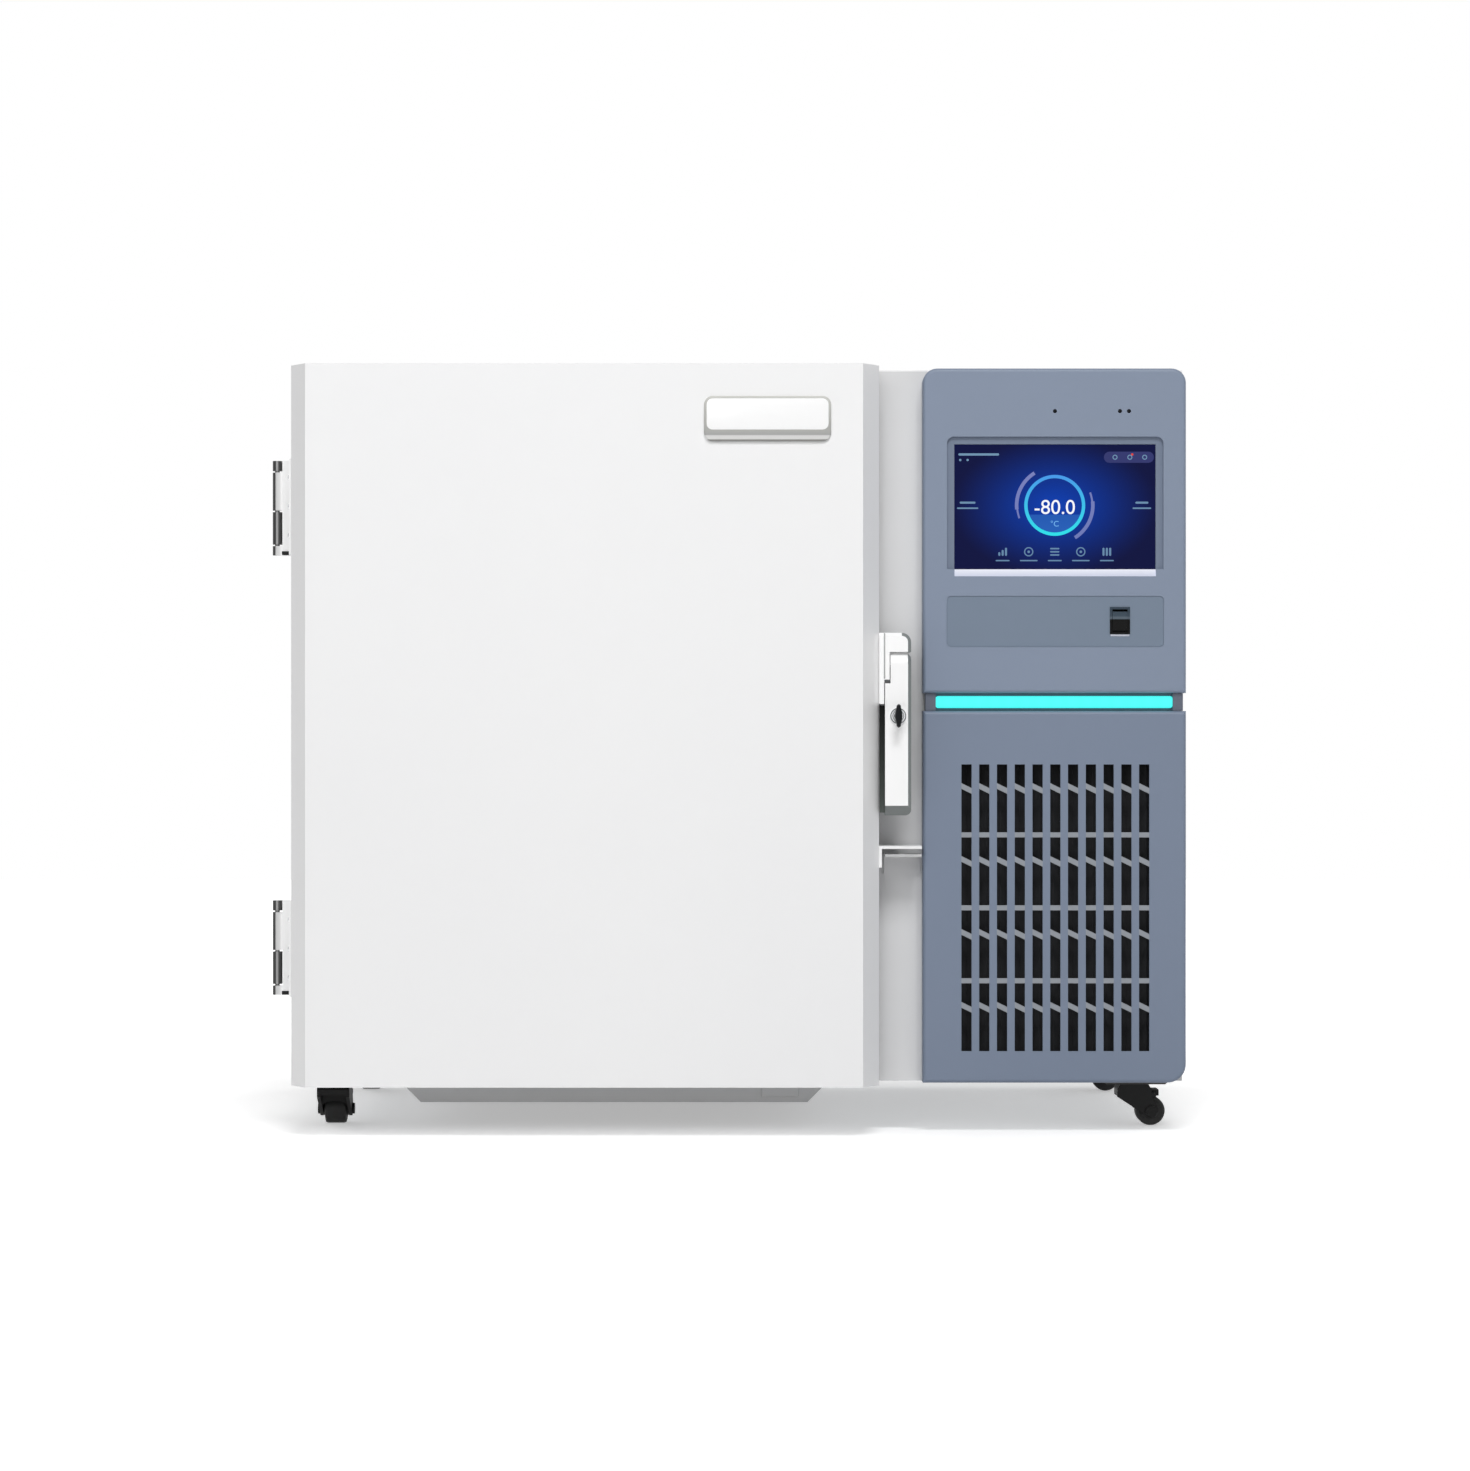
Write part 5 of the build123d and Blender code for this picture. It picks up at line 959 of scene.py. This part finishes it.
# dark domed lenses of the three indicators, sunk in the bezel
indicators = {
    "places": (351.6 * mm, 421.6 * mm, 431.3 * mm),
    "level": 778.8 * mm,
    "sunk": 2.2 * mm,
    "lens": [(0.1, 1.9), (0.9, 1.7), (1.6, 1.2), (2.0, 0.4), (2.1, 0.0)],
}
lensY = frontOf("upper_bezel") + indicators["sunk"]
lensPlaces = [(x, lensY, indicators["level"]) for x in indicators["places"]]
lenses = [turnedShape(place, (0, -1, 0), indicators["lens"], 24) for place in lensPlaces]
addPiece("indicatorLenses", "cabinet", joined(lenses), finishes["gloss_black"])
print("panel: lip and lenses")

# hinges: dark strips under the lower edges of the leaves, button screws on the flanges
hinge = {
    "bases": (149 * mm, 624 * mm),
    "foot": (-482.6 * mm, -475.0 * mm),
    "footRise": (0.2 * mm, 4.4 * mm),
    "footDepths": (-264 * mm, -268.6 * mm),
    "footRadii": (0.5 * mm, 0.4 * mm),
    "screwRises": (20 * mm, 51 * mm, 82 * mm),
    "doorFlange": -471.0 * mm,
    "doorScrews": (-292 * mm, -278 * mm),
    "cabinetFlange": -470.0 * mm,
    "cabinetScrews": (-238 * mm, -226 * mm),
}
darkStrips = []
for base in hinge["bases"]:
    footSpan = (*hinge["foot"], *(base + rise for rise in hinge["footRise"]))
    darkStrips.append(softSlab(footSpan, 0.0, hinge["footDepths"], hinge["footRadii"]))
addPiece("hingeDarkStrips", "door", joined(darkStrips), finishes["black_plastic"])

# button head with a hexagon socket: a dome turned about the axis, and a dark six-sided pit
screw = {
    "dome": [(0.1, 2.0), (1.6, 1.95), (2.8, 1.5), (3.6, 0.7), (3.8, 0.0), (3.8, -0.8)],
    "pit": [(1.7, 1.96), (1.5, 2.03), (0.1, 2.03)],
}


def screwHeads(name, body, places, axis, scale=1.0):
    domes = [turnedShape(place, axis, screw["dome"], 24, scale) for place in places]
    pits = [turnedShape(place, axis, screw["pit"], 6, scale) for place in places]
    addPiece(name + "Heads", body, joined(domes), finishes["chrome"])
    addPiece(name + "Sockets", body, joined(pits), finishes["black_plastic"])


screwLevels = [base + rise for base in hinge["bases"] for rise in hinge["screwRises"]]
for side in ("door", "cabinet"):
    flange, depths = hinge[side + "Flange"], hinge[side + "Screws"]
    hingePlaces = [(flange, y, z) for z in screwLevels for y in depths]
    screwHeads(side + "HingeScrew", side, hingePlaces, (-1, 0, 0))
print("hinges: feet and screws")

# rear: pressed louvre hoods; each bulges out as a sine from its top edge down, flattened at both ends
louvre = {
    "pitch": (124 * mm, 16 * mm),
    "count": (2, 18),
    "base": 110 * mm,  # lowest louvre above the panel's edge
    "rise": 6.5 * mm,  # hood's top above its louvre's middle
    "half": 57 * mm,
    "drop": 10.5 * mm,
    "bulge": 4.2 * mm,
    "sheet": 0.8 * mm,
    "stand": 0.3 * mm,
    "endPower": 10,
}
rearLow, rearHigh = spanOf("rear_panel")
shroudLow, shroudHigh = spanOf("fan_shroud")
fanX = (shroudLow[0] + shroudHigh[0]) / 2
along = np.linspace(-1, 1, 17)[:, None]
down = np.linspace(0, 1, 7)[None, :]
ends = 1 - np.abs(along) ** louvre["endPower"]
outer = ends * louvre["bulge"] * np.sin(down * math.pi / 2)
inner = outer - louvre["sheet"]
hoodY = rearHigh[1] + louvre["stand"] + np.concatenate([outer, inner[:, ::-1]], axis=1)
hoodZ = np.concatenate([down, down[:, ::-1]], axis=1) * -louvre["drop"] + 0 * along
columns, rows = louvre["count"]
hoods = []
for column in range(columns):
    hoodX = fanX + (column - (columns - 1) / 2) * louvre["pitch"][0] + along * louvre["half"]
    for row in range(rows):
        hoodTop = rearLow[2] + louvre["base"] + row * louvre["pitch"][1] + louvre["rise"]
        hoods.append(ringShape(np.stack([hoodX + 0 * hoodZ, hoodY, hoodTop + hoodZ], axis=-1)))
addPiece("louvreHoods", "cabinet", joined(hoods), finishes["white_paint"])

# rear: rubber bumpers with a sunk screw
bumper = {
    "inset": 60 * mm,
    "left": 26 * mm,  # the hinges stand out this far beside the cabinet
    "right": 1.5 * mm,  # and the bezel this far
    "seat": 6 * mm,
    "profile": [
        (0.1, 0),
        (14, 0),
        (14, 6.5),
        (13.4, 9),
        (11.8, 11),
        (9.5, 12),
        (5.6, 12),
        (4.8, 11),
        (4.6, 6),
        (0.1, 6),
    ],
}
bumperLeft = cadBox[0][0] + bumper["left"] + bumper["inset"]
bumperRight = cadBox[1][0] - bumper["right"] - bumper["inset"]
bumperLevels = (rearLow[2] + bumper["inset"], rearHigh[2] - bumper["inset"])
bumperPlaces = [(x, rearHigh[1], z) for x in (bumperLeft, bumperRight) for z in bumperLevels]
bumperShape = joined([turnedShape(place, (0, 1, 0), bumper["profile"], 40) for place in bumperPlaces])
addPiece("rearBumpers", "cabinet", bumperShape, finishes["black_rubber"], ["rear_bumpers"])
screwHeads("bumperScrew", "cabinet", [(x, y + bumper["seat"], z) for x, y, z in bumperPlaces], (0, 1, 0))

# rear: screws round the panel and beside the inlet
rear = {"edge": 12 * mm, "across": 7, "up": 5, "size": 0.8, "inletSpread": 27 * mm, "inletSize": 0.55}
edgeX = np.linspace(rearLow[0] + rear["edge"], rearHigh[0] - rear["edge"], rear["across"])
edgeZ = np.linspace(rearLow[2] + rear["edge"], rearHigh[2] - rear["edge"], rear["up"])
rearPlaces = [(x, rearHigh[1], z) for x in edgeX for z in (edgeZ[0], edgeZ[-1])]
rearPlaces += [(x, rearHigh[1], z) for x in (edgeX[0], edgeX[-1]) for z in edgeZ[1:-1]]
screwHeads("rearScrew", "cabinet", rearPlaces, (0, 1, 0), rear["size"])
inletLow, inletHigh = spanOf("mains_inlet")
inletX, _, inletZ = (inletLow + inletHigh) / 2
inletPlaces = [(inletX + side * rear["inletSpread"], inletHigh[1], inletZ) for side in (-1, 1)]
screwHeads("inletScrew", "cabinet", inletPlaces, (0, 1, 0), rear["inletSize"])
print("rear: hoods, bumpers and screws")

# door gasket: a bellows profile, distance from the outer edge and height, mirrored about its middle
# and swept round a rectangle
gasket = {
    "width": 24,
    "middle": (12, 9.4),
    "half": [(24, 3), (22, 3.8), (18.6, 4.3), (18, 5), (19.4, 5.8), (20.2, 7.4), (19.4, 9), (17, 9.7)],
}
mirrored = [(gasket["width"] - distance, height) for distance, height in reversed(gasket["half"])]
bellows = [(0, 0), (gasket["width"], 0), *gasket["half"], gasket["middle"], *mirrored]
inset, height = np.array(bellows).T[:, :, None] * mm
gasketLow, gasketHigh = spanOf("door_gasket")
gasketMiddle = (gasketHigh + gasketLow) / 2
gasketHalf = (gasketHigh - gasketLow) / 2
cornerX = np.array([-1, 1, 1, -1])[None, :]
cornerZ = np.array([-1, -1, 1, 1])[None, :]
gasketX = gasketMiddle[0] + cornerX * (gasketHalf[0] - inset)
gasketY = gasketLow[1] + height + 0 * cornerX
gasketZ = gasketMiddle[2] + cornerZ * (gasketHalf[2] - inset)
gasketPoints = np.stack([gasketX, gasketY, gasketZ], axis=-1).reshape(-1, 3)
gasketShape = (gasketPoints, gridFaces(len(bellows), 4, True))
addPiece("doorGasket", "door", gasketShape, finishes["gasket_rubber"], ["door_gasket"])
print("door: gasket bellows")


def cornerName(kind, corner):
    return kind + corner.title().replace("_", "")


# casters: crowned wheels turned about their axles; instead of flat ends they have a bore,
# which joins the last ring to the first
wheel = {
    "around": 64,
    "half": [
        (5.1, -13.5),
        (7.4, -13.5),
        (8, -12.9),
        (8, -11.9),
        (9, -11.2),
        (12.2, -11.2),
        (13.4, -11.6),
        (14.8, -11.3),
        (15.7, -10.3),
        (16, -8.6),
    ],
}
wheelProfile = wheel["half"] + [(radius, -height) for radius, height in reversed(wheel["half"])]
around = wheel["around"]
toLast = (len(wheelProfile) - 2) * around
boreFaces = [[i if i < around else i + toLast for i in face] for face in gridFaces(2, around)]
for corner in ("front_left", "front_right", "rear_left", "rear_right"):
    wheelNode = "caster_wheel_" + corner
    wheelLow, wheelHigh = spanOf(wheelNode)
    axle = np.eye(3)[np.argmin((wheelHigh - wheelLow)[:2])]
    points, faces = turnedShape((wheelLow + wheelHigh) / 2, axle, wheelProfile, around)
    wheelShape = (points, faces[:-2] + boreFaces)
    wheelName = cornerName("wheel", corner)
    addPiece(wheelName, bodyOf[wheelNode], wheelShape, finishes["tread"], [wheelNode])

# fork arch: a plate across the fork whose lower edge is half an ellipse over the wheel
arch = {
    "half": 13.9 * mm,
    "low": 19.6 * mm,
    "crown": 26 * mm,
    "top": 33.6 * mm,
    "pivot": 18.7 * mm,  # swivel's middle behind the fork's nose
    "front": -7 * mm,
    "back": -4 * mm,
    "lean": 0.41,  # backwards per height below the top, along the fork's slanted edge
}
headings = {"front_left": (0, 1), "front_right": (1, 0), "rear_left": (0, 1), "rear_right": (1, 0)}
across = np.linspace(-1, 1, 25)[:, None]
lowEdge = arch["low"] + (arch["crown"] - arch["low"]) * np.sqrt(1 - across ** 2)
topEdge = np.full_like(lowEdge, arch["top"])
rails = ((arch["front"], lowEdge), (arch["front"], topEdge), (arch["back"], topEdge), (arch["back"], lowEdge))
upward = np.array([0, 0, 1])
for corner, heading in headings.items():
    forkNode = "caster_fork_" + corner
    forkLow, forkHigh = spanOf(forkNode)
    trail = np.array([*heading, 0.0])
    sideways = np.array([heading[1], heading[0], 0.0])
    pivotAt = forkLow * trail + (forkLow + forkHigh) / 2 * sideways + trail * arch["pivot"]
    corners = []
    for depth, edge in rails:
        behind = depth + arch["lean"] * (arch["top"] - edge)
        corners.append(pivotAt + sideways * arch["half"] * across + upward * edge + trail * behind)
    archShape = ringShape(np.stack(corners, axis=1))
    archName = cornerName("forkArch", corner)
    addPiece(archName, bodyOf[forkNode], archShape, finishes["black_plastic"])
print("casters: wheels and arches")


# 1 for rays from the camera and for those that it sees mirrored
def seenRays(finish):
    rays = finish.node("LightPath").socket.node.outputs
    return Sock(finish, rays["Is Camera Ray"]).calc("MAXIMUM", Sock(finish, rays["Is Glossy Ray"]))


# floor: white to the camera, dimmer in an ellipse round the part so that a soft shadow shows
ground = {"half": 7.0, "pool": (1.1, 0.9), "poolY": 0.1, "fade": (0.45, 1.15), "dim": 0.4}
floorMesh = bpy.data.meshes.new("studioFloor")
signs = ((-1, -1), (1, -1), (1, 1), (-1, 1))
floorMesh.from_pydata([(x * ground["half"], y * ground["half"], 0) for x, y in signs], [], [(0, 1, 2, 3)])
floor = bpy.data.objects.new("studioFloor", floorMesh)
bpy.context.scene.collection.objects.link(floor)
floorFinish = Finish("studioFloor")
floorX, floorY, _ = floorFinish.axes()
poolX, poolY = floorX / ground["pool"][0], (floorY - ground["poolY"]) / ground["pool"][1]
reach = (poolX ** 2 + poolY ** 2).calc("SQRT")
fadeFrom, fadeTo = ground["fade"]
fadeSockets = {0: reach, 1: fadeFrom, 2: fadeTo, 3: ground["dim"], 4: 1.0}
far = floorFinish.node("MapRange", {"interpolation_type": "SMOOTHSTEP"}, fadeSockets)
floorMesh.materials.append(
    floorFinish.shade(
        Base_Color=tint("f4f4f4"),
        Roughness=0.9,
        Specular_IOR_Level=0.1,
        Emission_Color=floorFinish.blend(seenRays(floorFinish) * far, (0, 0, 0, 1), (1, 1, 1, 1)),
        Emission_Strength=1.0,
    )
)

# light: a world that is white to the camera and dim to the part, and four lamps
studio = {
    "ambient": 0.22,
    "aim": (0.0, 0.0, 0.42),
    "lamps": {
        "keyLamp": ((0.5, -3.9, 4.6), (2.0, 1.4), 152),
        "frontFill": ((-1.0, -4.4, 2.2), (1.6, 1.6), 34),
        "backLeft": ((-3.0, 2.6, 2.4), (1.6, 1.6), 34),
        "backRight": ((2.2, 3.6, 2.4), (1.6, 1.6), 34),
    },
}
world = bpy.data.worlds.new("studioWorld")
bpy.context.scene.world = world
sky = Finish("studioWorld", world, "Background")
skyLevel = sky.node("MapRange", sockets={0: seenRays(sky), 3: studio["ambient"], 4: 1.0})
sky.shade(Color=(1, 1, 1, 1), Strength=skyLevel)
for lampName, (lampPlace, lampSize, lampPower) in studio["lamps"].items():
    lamp = bpy.data.lights.new(lampName, "AREA")
    lamp.shape = "RECTANGLE"
    lamp.size, lamp.size_y = lampSize
    lamp.energy = lampPower
    lampObject = bpy.data.objects.new(lampName, lamp)
    bpy.context.scene.collection.objects.link(lampObject)
    lampObject.location = lampPlace
    lampObject.visible_glossy = not lampName.startswith("back")  # no hot spots on the top panel
    toward = np.array(studio["aim"]) - np.array(lampPlace)
    lampObject.rotation_euler = (
        math.atan2(math.hypot(toward[0], toward[1]), -toward[2]),
        0,
        math.atan2(toward[1], toward[0]) - math.pi / 2,
    )

camera = {
    "place": (6.9 * mm, -4411 * mm, 429.3 * mm),
    "focalPixels": 3835,
    "imageHeight": 1471,
    "sensor": 36.0,
    "clip": 50,
}
lens = bpy.data.cameras.new("photoCamera")
lens.sensor_width = camera["sensor"]
lens.lens = camera["focalPixels"] / camera["imageHeight"] * camera["sensor"]
lens.clip_end = camera["clip"]
cameraObject = bpy.data.objects.new("photoCamera", lens)
bpy.context.scene.collection.objects.link(cameraObject)
cameraObject.location = camera["place"]
cameraObject.rotation_euler = (math.pi / 2, 0, 0)
bpy.context.scene.camera = cameraObject
bpy.context.scene.view_settings.view_transform = "Standard"
print("stage: floor, lamps and camera")
